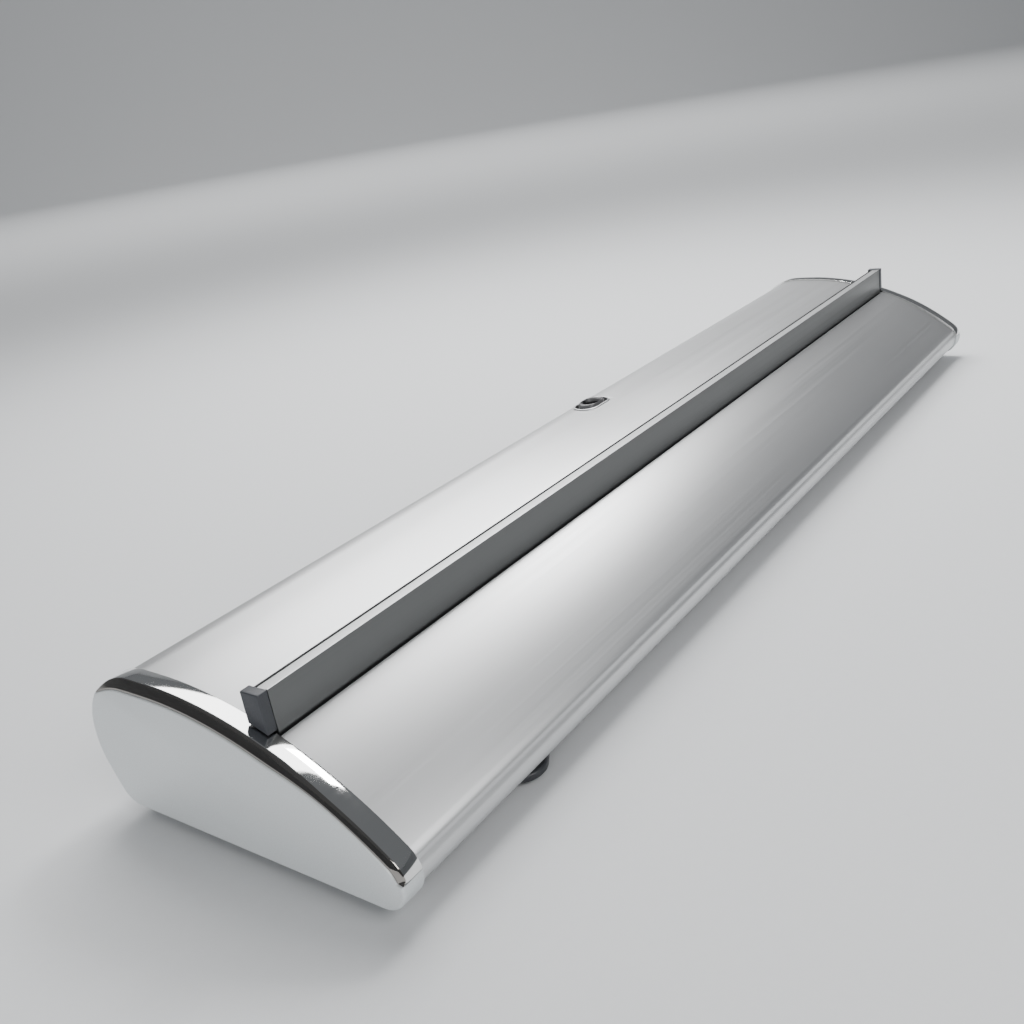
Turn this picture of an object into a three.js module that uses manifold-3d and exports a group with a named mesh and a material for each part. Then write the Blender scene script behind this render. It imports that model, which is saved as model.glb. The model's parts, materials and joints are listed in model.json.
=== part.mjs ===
// Roll-up banner stand, closed: an extruded wing-shaped casing with a sprung banner roller inside,
// a clamp rail standing in the slot along its top, a pole socket and two swing-out feet.
// Units are millimetres. +X runs along the casing, +Y to the rear, +Z up. The origin is on the
// ground under the middle of the casing.
import * as THREE from "three";
import { mergeVertices } from "three/addons/utils/BufferGeometryUtils.js";
import Module from "manifold-3d";

const wasm = await Module();
wasm.setup();

// ---- Driving dimensions ----

const GAP = 0.3; // between pieces that touch

// Casing section, looking along +X
const CASING_LENGTH = 860;
const CASING_DEPTH = 207.5;
const CASING_HEIGHT = 77.4;
const GROUND_CLEARANCE = 8;
const NOSE_RADIUS = 13.8;
const SHOULDER_RADIUS = 42;
const HEEL_RADIUS = 12;
const HEEL_SETBACK = 19.5; // from the rear-most point in to the heel's centre
const CREST_FLAT = 12;
const WALL = 2.2;
const BASE_THICKNESS = 2.5;
const TONGUE_DEPTH = 1.9;

// Slot for the rail, measured on Y
const SLOT_FRONT = -31;
const SLOT_REAR = -14.9;
const LIP_THICKNESS = 2;
const RAIL_REST_Z = 61.7;
const REAR_LIP_Z = 65;
const SEAL_DROP = 0.5; // the front seal's top below the slot's edge
const SEAL_SETBACK = 2;
const BRUSH_CLEARANCE = 0.7;
const BRUSH_FOOT = 67.5;
const BRUSH_TOP = 71;
const NOSE_SEAM = 236; // degrees on the nose, hidden under it
const HEEL_SEAM = -50; // degrees on the heel
const SEAM_GAP = 3; // degrees on the nose
const TONGUE_REACH = 15; // degrees past the seam

// Ends
const FRAME_THICKNESS = 2;
const FRAME_INSET = 5.3;
const CAP_THICKNESS = 13.7;
const CAP_FACE_THICKNESS = 7.5;
const CAP_WALL_INSET = 5;
const CAP_PROUD = 1.5; // the caps and trims stand out past the casing
const TRIM_WIDTH = 12.7;
const TRIM_BAND_WIDTH = 7;
const TRIM_BAND_DEPTH = 2;
const TRIM_FACE_DEPTH = 6;
const TRIM_NOSE_ANGLE = 172;
const TRIM_SHOULDER_ANGLE = 44;
const CAP_PIN_RADIUS = 2.5;

// Screws into the extruded ports
const PORT_DEPTH = 10;
const PORT_RADIUS = 4.2;
const PORT_BORE = 2.2;
const SCREW_RADIUS = 1.8;
const SCREW_LENGTH = 14;
const SCREW_HEAD_RADIUS = 3.6;
const SCREW_HEAD_HEIGHT = 2.2;

// Roller and banner
const BANNER_WIDTH = 840;
const FILM_THICKNESS = 0.3;
const WEB_START = 2; // the web's foot above the roller's axis
const FILM_Y = -21.5;
const TUBE_RADIUS = 19;
const TUBE_WALL = 1.3;
const TUBE_LENGTH = 846;
const ROLL_RADIUS = 23;
const ROLLER_Z = 40;
const ROLLER_Y = FILM_Y + ROLL_RADIUS;
const PLUG_LENGTH = 16;
const PLUG_FLANGE = 2;
const ARBOR_RADIUS = 3;
const ARBOR_LENGTH = 150;
const BUSH_RADIUS = 6;
const BUSH_SHOULDER = 3;
const BUSH_CLEARANCE = 0.4; // between the plug's flange and the bush
const SPRING_RADIUS = 8;
const SPRING_WIRE = 1.1;
const SPRING_TURNS = 8;

// Clamp rail
const RAIL_FRONT = -29.4;
const RAIL_BACK = -22.1;
const RAIL_TOP = 94.6;
const RAIL_HALF_LENGTH = 428.5;
const RAIL_FOOT = RAIL_REST_Z + GAP;
const RAIL_WALL = 1.8;
const RAIL_BACK_LIFT = 6; // the back wall stops short of the foot
const HINGE_Y = -21.1;
const HINGE_Z = 91;
const HINGE_CLEARANCE = 2.8; // between the hinge axis and the rear jaw
const HINGE_STRIP_BACK = 1.2; // behind the hinge axis
const HINGE_STRIP_DROP = 2.4; // below the hinge axis
const HINGE_STRIP_RISE = 3.4; // above the hinge axis
const JAW_FRONT = -20.9;
const JAW_BACK = -17.9;
const JAW_FOOT = 77;
const JAW_CHAMFER = 1.2;
const RAIL_CAP_LENGTH = 6;
const RAIL_CAP_OVERHANG = 0.4;
const RAIL_CAP_FRONT = RAIL_FRONT - RAIL_CAP_OVERHANG;
const RAIL_CAP_BACK = JAW_BACK + RAIL_CAP_OVERHANG;
const RAIL_CAP_CLEARANCE = CAP_PROUD + 0.8; // above the casing, to clear the chrome trim
const RAIL_PLUG_LENGTH = 15;
const RAIL_PLUG_FOOT = 74;

// Pole socket
const SOCKET_Y = CASING_DEPTH / 2 - SHOULDER_RADIUS;
const SOCKET_LENGTH = 36;
const SOCKET_WIDTH = 22;
const SOCKET_BORE = 6.6;
const COLLAR_RADIUS = 8.8;
const COLLAR_HEIGHT = 2.6; // above the casing's crest
const BEZEL_RIM = 1.9;
const BEZEL_HEIGHT = 0.9; // above the casing's crest
const BEZEL_DEPTH = 3.5; // below the crest
const FLANGE_TOP = 3.8; // below the crest
const FLANGE_BOTTOM = 6.8; // below the crest
const SOCKET_FLOOR = 6; // above the casing's underside

// Swing feet
const FOOT_PIVOT_X = 213.5;
const FOOT_PIVOT_Y = -15.5;
const FOOT_LENGTH = 300;
const FOOT_WIDTH = 30;
const FOOT_THICKNESS = 4.4;
const FOOT_TOP = GROUND_CLEARANCE - 1.4;
const LEFT_FOOT_REST = 30; // degrees turned out from the casing
const PIVOT_RADIUS = 4;
const PIVOT_HEAD_RADIUS = PIVOT_RADIUS + 3;
const PIVOT_HEAD_HEIGHT = 1.6;
const PIVOT_SHANK_TOP = GROUND_CLEARANCE + BASE_THICKNESS + 2.8;
const WASHER_RADIUS = PIVOT_RADIUS + 6;
const NUT_RADIUS = PIVOT_RADIUS + 3.4;
const NUT_TOP = GROUND_CLEARANCE + BASE_THICKNESS + 3.2;
const PAD_RADIUS = 8;
const PAD_BOTTOM = 0.4;

// Rubber feet
const RUBBER_FOOT_RADIUS = 10;
const RUBBER_FOOT_TAPER = 1.5;
const RUBBER_FOOT_X = 400;
const RUBBER_FOOT_FRONT_Y = -78;
const RUBBER_FOOT_REAR_Y = 70;

// ---- Geometry helpers ----

const degrees = THREE.MathUtils.degToRad;

/** Turns a closed geometry into a solid that can be joined and cut. */
function solid(geometry) {
  const bare = geometry.index ? geometry.toNonIndexed() : geometry.clone();
  bare.deleteAttribute("normal");
  bare.deleteAttribute("uv");
  const merged = mergeVertices(bare, 1e-4);
  return new wasm.Manifold(
    new wasm.Mesh({
      numProp: 3,
      vertProperties: merged.attributes.position.array,
      triVerts: new Uint32Array(merged.index.array),
    }),
  );
}

/** Turns a solid back into a geometry. */
function surface(body) {
  const mesh = body.getMesh();
  const geometry = new THREE.BufferGeometry();
  geometry.setAttribute("position", new THREE.BufferAttribute(mesh.vertProperties, 3));
  geometry.setIndex(new THREE.BufferAttribute(mesh.triVerts, 1));
  geometry.computeVertexNormals();
  return geometry;
}

/** Joins closed geometries into one. */
function join(...geometries) {
  return surface(geometries.map(solid).reduce((whole, piece) => whole.add(piece)));
}

/** Cuts closed geometries out of the first one. */
function cut(geometry, ...tools) {
  return surface(tools.map(solid).reduce((rest, tool) => rest.subtract(tool), solid(geometry)));
}

/** An outline in the Y-Z section, extruded along X. Holes run clockwise. */
function alongX(points, from, to, holes = []) {
  const outline = THREE.ShapeUtils.isClockWise(points) ? [...points].reverse() : points;
  const shape = new THREE.Shape(outline);
  holes.forEach((hole) => shape.holes.push(hole));
  const geometry = new THREE.ExtrudeGeometry(shape, {
    depth: to - from,
    bevelEnabled: false,
    curveSegments: 10,
  });
  const axes = new THREE.Matrix4().makeBasis(
    new THREE.Vector3(0, 1, 0),
    new THREE.Vector3(0, 0, 1),
    new THREE.Vector3(1, 0, 0),
  );
  return geometry.applyMatrix4(axes).translate(from, 0, 0);
}

/** A round hole in a section. */
function roundHole(y, z, radius) {
  return new THREE.Path().absarc(y, z, radius, 0, 2 * Math.PI, true);
}

/** A rectangle in the Y-Z section. */
function rectangle(y0, y1, z0, z1) {
  return [
    new THREE.Vector2(y0, z0),
    new THREE.Vector2(y1, z0),
    new THREE.Vector2(y1, z1),
    new THREE.Vector2(y0, z1),
  ];
}

/** A square-edged block between two corners. */
function block(x0, x1, y0, y1, z0, z1) {
  return new THREE.BoxGeometry(x1 - x0, y1 - y0, z1 - z0).translate(
    (x0 + x1) / 2,
    (y0 + y1) / 2,
    (z0 + z1) / 2,
  );
}

/** A round bar along X. */
function rod(y, z, radius, from, to, sides = 16) {
  return new THREE.CylinderGeometry(radius, radius, to - from, sides)
    .rotateZ(-Math.PI / 2)
    .translate((from + to) / 2, y, z);
}

/** A round post along Z, centred on the Z axis. */
function post(radius, bottom, top, sides = 20) {
  return new THREE.CylinderGeometry(radius, radius, top - bottom, sides)
    .rotateX(Math.PI / 2)
    .translate(0, 0, (bottom + top) / 2);
}

/** A profile of [radius, height] pairs, from the axis to the axis, turned about Z. */
function turned(profile, sides = 16) {
  const points = profile.map(([radius, height]) => new THREE.Vector2(radius, height));
  return new THREE.LatheGeometry(points, sides).rotateX(Math.PI / 2);
}

/** A flat plate with round ends, long on X, extruded from bottom to top. */
function roundEnded(length, width, bottom, top, holes = []) {
  const reach = (length - width) / 2;
  const shape = new THREE.Shape();
  shape.absarc(reach, 0, width / 2, -Math.PI / 2, Math.PI / 2, false);
  shape.absarc(-reach, 0, width / 2, Math.PI / 2, (3 * Math.PI) / 2, false);
  shape.closePath();
  holes.forEach((hole) => shape.holes.push(hole));
  return new THREE.ExtrudeGeometry(shape, {
    depth: top - bottom,
    bevelEnabled: false,
    curveSegments: 10,
  }).translate(0, 0, bottom);
}

// ---- The casing's outline ----
// Four arcs that meet smoothly, taken clockwise from under the nose: the nose, the long front
// sweep, the rear shoulder and the heel. The crest, the rear wall and the base are the straights
// between them. Moving the outline inwards only shortens the radii.

const BOTTOM = GROUND_CLEARANCE;
const TOP = BOTTOM + CASING_HEIGHT;

const nose = {
  y: -CASING_DEPTH / 2 + NOSE_RADIUS,
  z: BOTTOM + NOSE_RADIUS,
  radius: NOSE_RADIUS,
};
const shoulder = {
  y: CASING_DEPTH / 2 - SHOULDER_RADIUS,
  z: TOP - SHOULDER_RADIUS,
  radius: SHOULDER_RADIUS,
};
const heel = {
  y: CASING_DEPTH / 2 - HEEL_SETBACK,
  z: BOTTOM + HEEL_RADIUS,
  radius: HEEL_RADIUS,
};

/** The front sweep: level at the crest, and touching the nose's arc from outside. */
function frontSweep() {
  const y = shoulder.y - CREST_FLAT;
  const across = y - nose.y;
  const rise = TOP - nose.z;
  const radius = (across ** 2 + rise ** 2 - NOSE_RADIUS ** 2) / (2 * (rise - NOSE_RADIUS));
  return { y, z: TOP - radius, radius };
}

const sweep = frontSweep();
const NOSE_JOIN = THREE.MathUtils.radToDeg(Math.atan2(nose.z - sweep.z, nose.y - sweep.y));

/** The direction, in degrees, in which the rear wall faces. */
function rearWallAngle() {
  const across = shoulder.y - heel.y;
  const rise = shoulder.z - heel.z;
  const lean = Math.acos((heel.radius - shoulder.radius) / Math.hypot(across, rise));
  return THREE.MathUtils.radToDeg(Math.atan2(rise, across) - lean);
}

const REAR_WALL = rearWallAngle();
const NOSE = 0;
const SWEEP = 1;
const SHOULDER = 2;
const HEEL = 3;
const CASING_ARCS = [
  { ...nose, from: 270, to: NOSE_JOIN, step: 15 },
  { ...sweep, from: NOSE_JOIN, to: 90, step: 3 },
  { ...shoulder, from: 90, to: REAR_WALL, step: 9 },
  { ...heel, from: REAR_WALL, to: -90, step: 17 },
];

/** The point on one of the casing's arcs, moved in by inset. */
function pointOn(arc, inset, angle) {
  const { y, z, radius } = CASING_ARCS[arc];
  const reach = radius - inset;
  return new THREE.Vector2(y + reach * Math.cos(degrees(angle)), z + reach * Math.sin(degrees(angle)));
}

/** The angle on the front sweep, moved in by inset, at a given Y. */
function sweepAngleAt(y, inset = 0) {
  return THREE.MathUtils.radToDeg(Math.acos((y - sweep.y) / (sweep.radius - inset)));
}

/** The casing's height at a Y on the front sweep. */
function sweepHeightAt(y) {
  return pointOn(SWEEP, 0, sweepAngleAt(y)).y;
}

/** The outline's points, moved in by inset, clockwise from one [arc, angle] to another. */
function alongCasing(inset, [firstArc, firstAngle], [lastArc, lastAngle]) {
  const points = [];
  const count = (lastArc - firstArc + CASING_ARCS.length) % CASING_ARCS.length;
  for (let i = 0; i <= count; i += 1) {
    const index = (firstArc + i) % CASING_ARCS.length;
    const arc = CASING_ARCS[index];
    const from = i === 0 ? firstAngle : arc.from;
    const to = i === count ? lastAngle : arc.to;
    const steps = Math.max(1, Math.round(Math.abs(to - from) / arc.step));
    for (let k = 0; k <= steps; k += 1) {
      const point = pointOn(index, inset, from + ((to - from) * k) / steps);
      const last = points.at(-1);
      if (!last || last.distanceTo(point) > 1e-4) points.push(point);
    }
  }
  return points;
}

/** The whole outline, moved in by inset. */
function casingOutline(inset) {
  return alongCasing(inset, [NOSE, 270], [HEEL, -90]);
}

/** The end cap's outline, with the stretch under the chrome trim moved in by inset. */
function outlineUnderTrim(inset) {
  const noseEnd = [NOSE, TRIM_NOSE_ANGLE + 1.5];
  const shoulderEnd = [SHOULDER, TRIM_SHOULDER_ANGLE - 0.5];
  return [
    ...alongCasing(inset - CAP_PROUD, noseEnd, shoulderEnd),
    ...alongCasing(-CAP_PROUD, shoulderEnd, noseEnd),
  ];
}

const HALF_LENGTH = CASING_LENGTH / 2;

/** A screw port: a bored tube along X, on a rib down from the casing's wall. */
function portSolid(arc, angle, wall) {
  const centre = pointOn(arc, PORT_DEPTH, angle);
  const rib = block(-HALF_LENGTH, HALF_LENGTH, -1, 1, 0, PORT_DEPTH - wall / 2)
    .rotateX(degrees(angle - 90))
    .translate(0, centre.x, centre.y);
  return join(rod(centre.x, centre.y, PORT_RADIUS, -HALF_LENGTH, HALF_LENGTH, 12), rib);
}

/** A strip of casing with its screw ports. */
function strip(points, ports, wall) {
  const whole = join(
    alongX(points, -HALF_LENGTH, HALF_LENGTH),
    ...ports.map(([arc, angle]) => portSolid(arc, angle, wall)),
  );
  const bores = ports.map(([arc, angle]) => {
    const centre = pointOn(arc, PORT_DEPTH, angle);
    return rod(centre.x, centre.y, PORT_BORE, -HALF_LENGTH - 1, HALF_LENGTH + 1, 12);
  });
  return cut(whole, ...bores);
}

// ---- Finishes ----

const FINISHES = {
  satinAluminium: { color: 0xb9babc, roughness: 0.38, metalness: 0.9 },
  railAluminium: { color: 0x8c8f90, roughness: 0.42, metalness: 0.85 },
  silverPaint: { color: 0xc3c8ca, roughness: 0.5, metalness: 0.3 },
  chrome: { color: 0xe2e2e0, roughness: 0.08, metalness: 1 },
  steel: { color: 0x9a9c9e, roughness: 0.35, metalness: 0.95 },
  darkPlastic: { color: 0x3c4046, roughness: 0.55, metalness: 0 },
  blackPlastic: { color: 0x191a1c, roughness: 0.5, metalness: 0 },
  rubber: { color: 0x17181a, roughness: 0.8, metalness: 0 },
  footPaint: { color: 0x2a2d31, roughness: 0.45, metalness: 0.2 },
  springSteel: { color: 0x6f7174, roughness: 0.4, metalness: 0.9 },
  bannerFilm: { color: 0xe9e9e6, roughness: 0.6, metalness: 0 },
};

/** A named mesh with its own material. */
function piece(name, finish, geometry) {
  const mesh = new THREE.Mesh(geometry, new THREE.MeshStandardMaterial(FINISHES[finish]));
  mesh.name = name;
  return mesh;
}

/** A group of pieces set at a place. */
function placed(x, y, z, ...pieces) {
  const group = new THREE.Group();
  group.position.set(x, y, z);
  group.add(...pieces);
  return group;
}

// ---- Casing ----

const FRONT_PORTS = [[SWEEP, 122]];
const REAR_PORTS = [
  [SWEEP, 97],
  [SHOULDER, 0],
];
const BASE_PORT_YS = [-50, 36];
const basePorts = BASE_PORT_YS.map((y) => new THREE.Vector2(y, BOTTOM + PORT_DEPTH));

/** Front panel: the sweep from the nose up to the slot, with the ledge that the rail rests on. */
function casingFront() {
  const inner = alongCasing(WALL, [NOSE, NOSE_SEAM], [SWEEP, sweepAngleAt(SLOT_FRONT - LIP_THICKNESS, WALL)]);
  const points = [
    ...alongCasing(0, [NOSE, NOSE_SEAM], [SWEEP, sweepAngleAt(SLOT_FRONT)]),
    new THREE.Vector2(SLOT_FRONT, RAIL_REST_Z),
    new THREE.Vector2(RAIL_FRONT + RAIL_WALL, RAIL_REST_Z),
    new THREE.Vector2(RAIL_FRONT + RAIL_WALL, RAIL_REST_Z - LIP_THICKNESS),
    new THREE.Vector2(SLOT_FRONT - LIP_THICKNESS, RAIL_REST_Z - LIP_THICKNESS),
    ...inner.reverse(),
  ];
  return strip(points, FRONT_PORTS, WALL);
}

/** Rear shell: from the slot over the crest and down the rear wall, with the pole opening. */
function casingRear() {
  const lipBack = SLOT_REAR + LIP_THICKNESS;
  const inner = alongCasing(WALL, [SWEEP, sweepAngleAt(lipBack, WALL)], [HEEL, HEEL_SEAM]);
  const points = [
    ...alongCasing(0, [SWEEP, sweepAngleAt(SLOT_REAR)], [HEEL, HEEL_SEAM]),
    ...inner.reverse(),
    new THREE.Vector2(lipBack, REAR_LIP_Z),
    new THREE.Vector2(SLOT_REAR, REAR_LIP_Z),
  ];
  const opening = roundEnded(SOCKET_LENGTH, SOCKET_WIDTH, TOP - 20, TOP + 5).translate(0, SOCKET_Y, 0);
  return cut(strip(points, REAR_PORTS, WALL), opening);
}

/** Base plate: the flat underside, with tongues behind both seams. */
function basePlate() {
  const behindWall = WALL + 0.4;
  const tongue = behindWall + TONGUE_DEPTH;
  const noseEdge = NOSE_SEAM + SEAM_GAP;
  const noseTip = NOSE_SEAM - TONGUE_REACH;
  const noseRoot = 258;
  const heelEdge = HEEL_SEAM - SEAM_GAP - 1;
  const heelTip = HEEL_SEAM + TONGUE_REACH;
  const heelRoot = -74;
  const points = [
    ...alongCasing(0, [HEEL, heelEdge], [NOSE, noseEdge]),
    ...alongCasing(behindWall, [NOSE, noseEdge], [NOSE, noseTip]),
    ...alongCasing(tongue, [NOSE, noseRoot], [NOSE, noseTip]).reverse(),
    ...alongCasing(BASE_THICKNESS, [HEEL, heelRoot - 4], [NOSE, noseRoot + 4]).reverse(),
    ...alongCasing(tongue, [HEEL, heelTip], [HEEL, heelRoot]).reverse(),
    ...alongCasing(behindWall, [HEEL, heelTip], [HEEL, heelEdge]),
  ];
  const ports = basePorts.map((port) => {
    const rib = block(-HALF_LENGTH, HALF_LENGTH, -1, 1, BOTTOM + 1, port.y);
    return join(rod(port.x, port.y, PORT_RADIUS, -HALF_LENGTH, HALF_LENGTH, 12), rib.translate(0, port.x, 0));
  });
  const bores = basePorts.map((port) =>
    rod(port.x, port.y, PORT_BORE, -HALF_LENGTH - 1, HALF_LENGTH + 1, 12),
  );
  const pivots = [-1, 1].map((side) =>
    post(PIVOT_RADIUS + GAP, BOTTOM - 1, BOTTOM + BASE_THICKNESS + 1).translate(
      side * FOOT_PIVOT_X,
      FOOT_PIVOT_Y,
      0,
    ),
  );
  return cut(join(alongX(points, -HALF_LENGTH, HALF_LENGTH), ...ports), ...bores, ...pivots);
}

// ---- Ends ----

const PORT_CENTRES = [
  ...[...FRONT_PORTS, ...REAR_PORTS].map(([arc, angle]) => pointOn(arc, PORT_DEPTH, angle)),
  ...basePorts,
];
const CAP_PINS = [new THREE.Vector2(-62, 28), new THREE.Vector2(64, 58)];
const END = HALF_LENGTH + GAP;

/** End frame of the right end: the steel plate that closes the casing and holds the roller. */
function endFrame() {
  const holes = [
    ...PORT_CENTRES.map((centre) => roundHole(centre.x, centre.y, PORT_BORE)),
    ...CAP_PINS.map((centre) => roundHole(centre.x, centre.y, CAP_PIN_RADIUS + GAP)),
    roundHole(ROLLER_Y, ROLLER_Z, BUSH_RADIUS + GAP),
  ];
  return alongX(casingOutline(FRAME_INSET), END, END + FRAME_THICKNESS, holes);
}

/** End cap of the right end: a moulded cover with a rebate for the trim and two locating pins. */
function endCap() {
  const face = END + CAP_THICKNESS;
  const pocketEnd = face - CAP_FACE_THICKNESS;
  const step = END + TRIM_BAND_WIDTH;
  const body = join(
    alongX(outlineUnderTrim(TRIM_BAND_DEPTH + GAP), END, step + GAP),
    alongX(outlineUnderTrim(TRIM_FACE_DEPTH + GAP), step + GAP - 0.01, face),
  );
  const hollow = cut(body, alongX(casingOutline(CAP_WALL_INSET), END - 1, pocketEnd));
  return join(hollow, ...CAP_PINS.map((pin) => rod(pin.x, pin.y, CAP_PIN_RADIUS, END, pocketEnd + 1, 10)));
}

/** Chrome trim of the right end: a band over the cap with a turned-down outer face. */
function chromeTrim() {
  const start = [NOSE, TRIM_NOSE_ANGLE];
  const end = [SHOULDER, TRIM_SHOULDER_ANGLE];
  const outer = alongCasing(-CAP_PROUD, start, end);
  const band = [...outer, ...alongCasing(TRIM_BAND_DEPTH - CAP_PROUD, start, end).reverse()];
  const face = [...outer, ...alongCasing(TRIM_FACE_DEPTH - CAP_PROUD, start, end).reverse()];
  const step = END + TRIM_BAND_WIDTH;
  return join(alongX(band, END, step + 1), alongX(face, step + GAP * 2, END + TRIM_WIDTH));
}

/** A pan-head screw along X, its head outside the right end frame. */
function endScrew(centre) {
  const underHead = END + FRAME_THICKNESS + GAP;
  const profile = [
    [0, underHead - SCREW_LENGTH],
    [SCREW_RADIUS, underHead - SCREW_LENGTH + 1],
    [SCREW_RADIUS, underHead],
    [SCREW_HEAD_RADIUS, underHead],
    [SCREW_HEAD_RADIUS, underHead + SCREW_HEAD_HEIGHT / 2],
    [SCREW_HEAD_RADIUS * 0.7, underHead + SCREW_HEAD_HEIGHT],
    [0, underHead + SCREW_HEAD_HEIGHT],
  ];
  return turned(profile, 10).rotateY(Math.PI / 2).translate(0, centre.x, centre.y);
}

/** The same geometry at the other end: mirrored in X with its faces turned back outwards. */
function mirrored(geometry) {
  const copy = (geometry.index ? geometry.toNonIndexed() : geometry.clone()).scale(-1, 1, 1);
  const positions = copy.getAttribute("position");
  const corner = new THREE.Vector3();
  const other = new THREE.Vector3();
  for (let i = 0; i < positions.count; i += 3) {
    corner.fromBufferAttribute(positions, i + 1);
    other.fromBufferAttribute(positions, i + 2);
    positions.setXYZ(i + 1, other.x, other.y, other.z);
    positions.setXYZ(i + 2, corner.x, corner.y, corner.z);
  }
  copy.computeVertexNormals();
  return copy;
}

const ENDS = [
  { side: "left", turn: mirrored },
  { side: "right", turn: (geometry) => geometry },
];

/** The pieces that close both ends. */
function endPieces() {
  const pieces = [];
  for (const { side, turn } of ENDS) {
    pieces.push(piece(`end_frame_${side}`, "steel", turn(endFrame())));
    pieces.push(piece(`end_cap_${side}`, "silverPaint", turn(endCap())));
    pieces.push(piece(`chrome_trim_${side}`, "chrome", turn(chromeTrim())));
    PORT_CENTRES.forEach((centre, i) => {
      pieces.push(piece(`end_screw_${side}_${i + 1}`, "steel", turn(endScrew(centre))));
    });
  }
  return pieces;
}

// ---- Slot seals and pole socket ----

/** The soft strips that close the slot in front of and behind the rail. */
function slotSeals() {
  const length = HALF_LENGTH - SEAL_SETBACK;
  const sealTop = sweepHeightAt(SLOT_FRONT) - SEAL_DROP;
  const seal = rectangle(SLOT_FRONT + GAP, RAIL_FRONT - GAP, RAIL_FOOT, sealTop);
  const brush = rectangle(FILM_Y + BRUSH_CLEARANCE, SLOT_REAR - GAP, BRUSH_FOOT, BRUSH_TOP);
  const front = alongX(seal, -length, length);
  const rear = alongX(brush, -length, length);
  return [piece("slot_seal_front", "rubber", front), piece("slot_brush_rear", "rubber", rear)];
}

/** The pole socket: a bright oval bezel round a recessed, collared cup. */
function poleSocket() {
  const bezelHole = new THREE.Path();
  const innerWidth = SOCKET_WIDTH - 2 * BEZEL_RIM;
  const reach = (SOCKET_LENGTH - SOCKET_WIDTH) / 2;
  bezelHole.absarc(reach, 0, innerWidth / 2, -Math.PI / 2, Math.PI / 2, false);
  bezelHole.absarc(-reach, 0, innerWidth / 2, Math.PI / 2, (3 * Math.PI) / 2, false);
  const bezel = roundEnded(
    SOCKET_LENGTH - 2 * GAP,
    SOCKET_WIDTH - 2 * GAP,
    TOP - BEZEL_DEPTH,
    TOP + BEZEL_HEIGHT,
    [bezelHole],
  );
  const cup = cut(
    join(
      roundEnded(SOCKET_LENGTH - 2 * GAP, SOCKET_WIDTH - 2 * GAP, TOP - FLANGE_BOTTOM, TOP - FLANGE_TOP),
      post(COLLAR_RADIUS, BOTTOM + BASE_THICKNESS + GAP, TOP + COLLAR_HEIGHT),
    ),
    post(SOCKET_BORE, BOTTOM + SOCKET_FLOOR, TOP + COLLAR_HEIGHT + 1),
  );
  return placed(
    0,
    SOCKET_Y,
    0,
    piece("socket_bezel", "satinAluminium", bezel),
    piece("pole_socket", "darkPlastic", cup),
  );
}

// ---- Roller ----

/** A thick ring along X, on the X axis. */
function ring(outer, inner, from, to, sides = 24) {
  const circle = new THREE.Shape().absarc(0, 0, outer, 0, 2 * Math.PI, false);
  circle.holes.push(roundHole(0, 0, inner));
  return new THREE.ExtrudeGeometry(circle, { depth: to - from, bevelEnabled: false, curveSegments: sides })
    .rotateY(Math.PI / 2)
    .translate(from, 0, 0);
}

/** A roller plug of the right end: a flanged stub inside the tube with a bearing bore. */
function rollerPlug() {
  const tubeEnd = TUBE_LENGTH / 2;
  return cut(
    join(
      rod(0, 0, TUBE_RADIUS - TUBE_WALL - GAP, tubeEnd - PLUG_LENGTH, tubeEnd + 1, 24),
      rod(0, 0, TUBE_RADIUS, tubeEnd + GAP, tubeEnd + GAP + PLUG_FLANGE, 24),
    ),
    rod(0, 0, ARBOR_RADIUS + GAP, tubeEnd - PLUG_LENGTH - 1, tubeEnd + PLUG_FLANGE + 2, 12),
  );
}

/** A flanged bush of the right end, held in the end frame. */
function bush() {
  const inside = TUBE_LENGTH / 2 + PLUG_FLANGE + 2 * GAP + BUSH_CLEARANCE;
  return cut(
    join(
      rod(0, 0, BUSH_RADIUS + BUSH_SHOULDER, inside, HALF_LENGTH, 16),
      rod(0, 0, BUSH_RADIUS, HALF_LENGTH - 0.5, END + FRAME_THICKNESS + 1, 16),
    ),
    rod(0, 0, ARBOR_RADIUS + GAP, inside - 1, END + FRAME_THICKNESS + 2, 12),
  );
}

/** A torsion spring along X as a wound wire. */
function torsionSpring(from, to) {
  const points = [];
  const stepsPerTurn = 12;
  const steps = SPRING_TURNS * stepsPerTurn;
  for (let i = 0; i <= steps; i += 1) {
    const angle = (2 * Math.PI * i) / stepsPerTurn;
    points.push(
      new THREE.Vector3(
        from + ((to - from) * i) / steps,
        SPRING_RADIUS * Math.cos(angle),
        SPRING_RADIUS * Math.sin(angle),
      ),
    );
  }
  const wire = new THREE.Shape().absarc(0, 0, SPRING_WIRE, 0, 2 * Math.PI, false);
  return new THREE.ExtrudeGeometry(wire, {
    steps,
    curveSegments: 6,
    extrudePath: new THREE.CatmullRomCurve3(points),
  });
}

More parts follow.
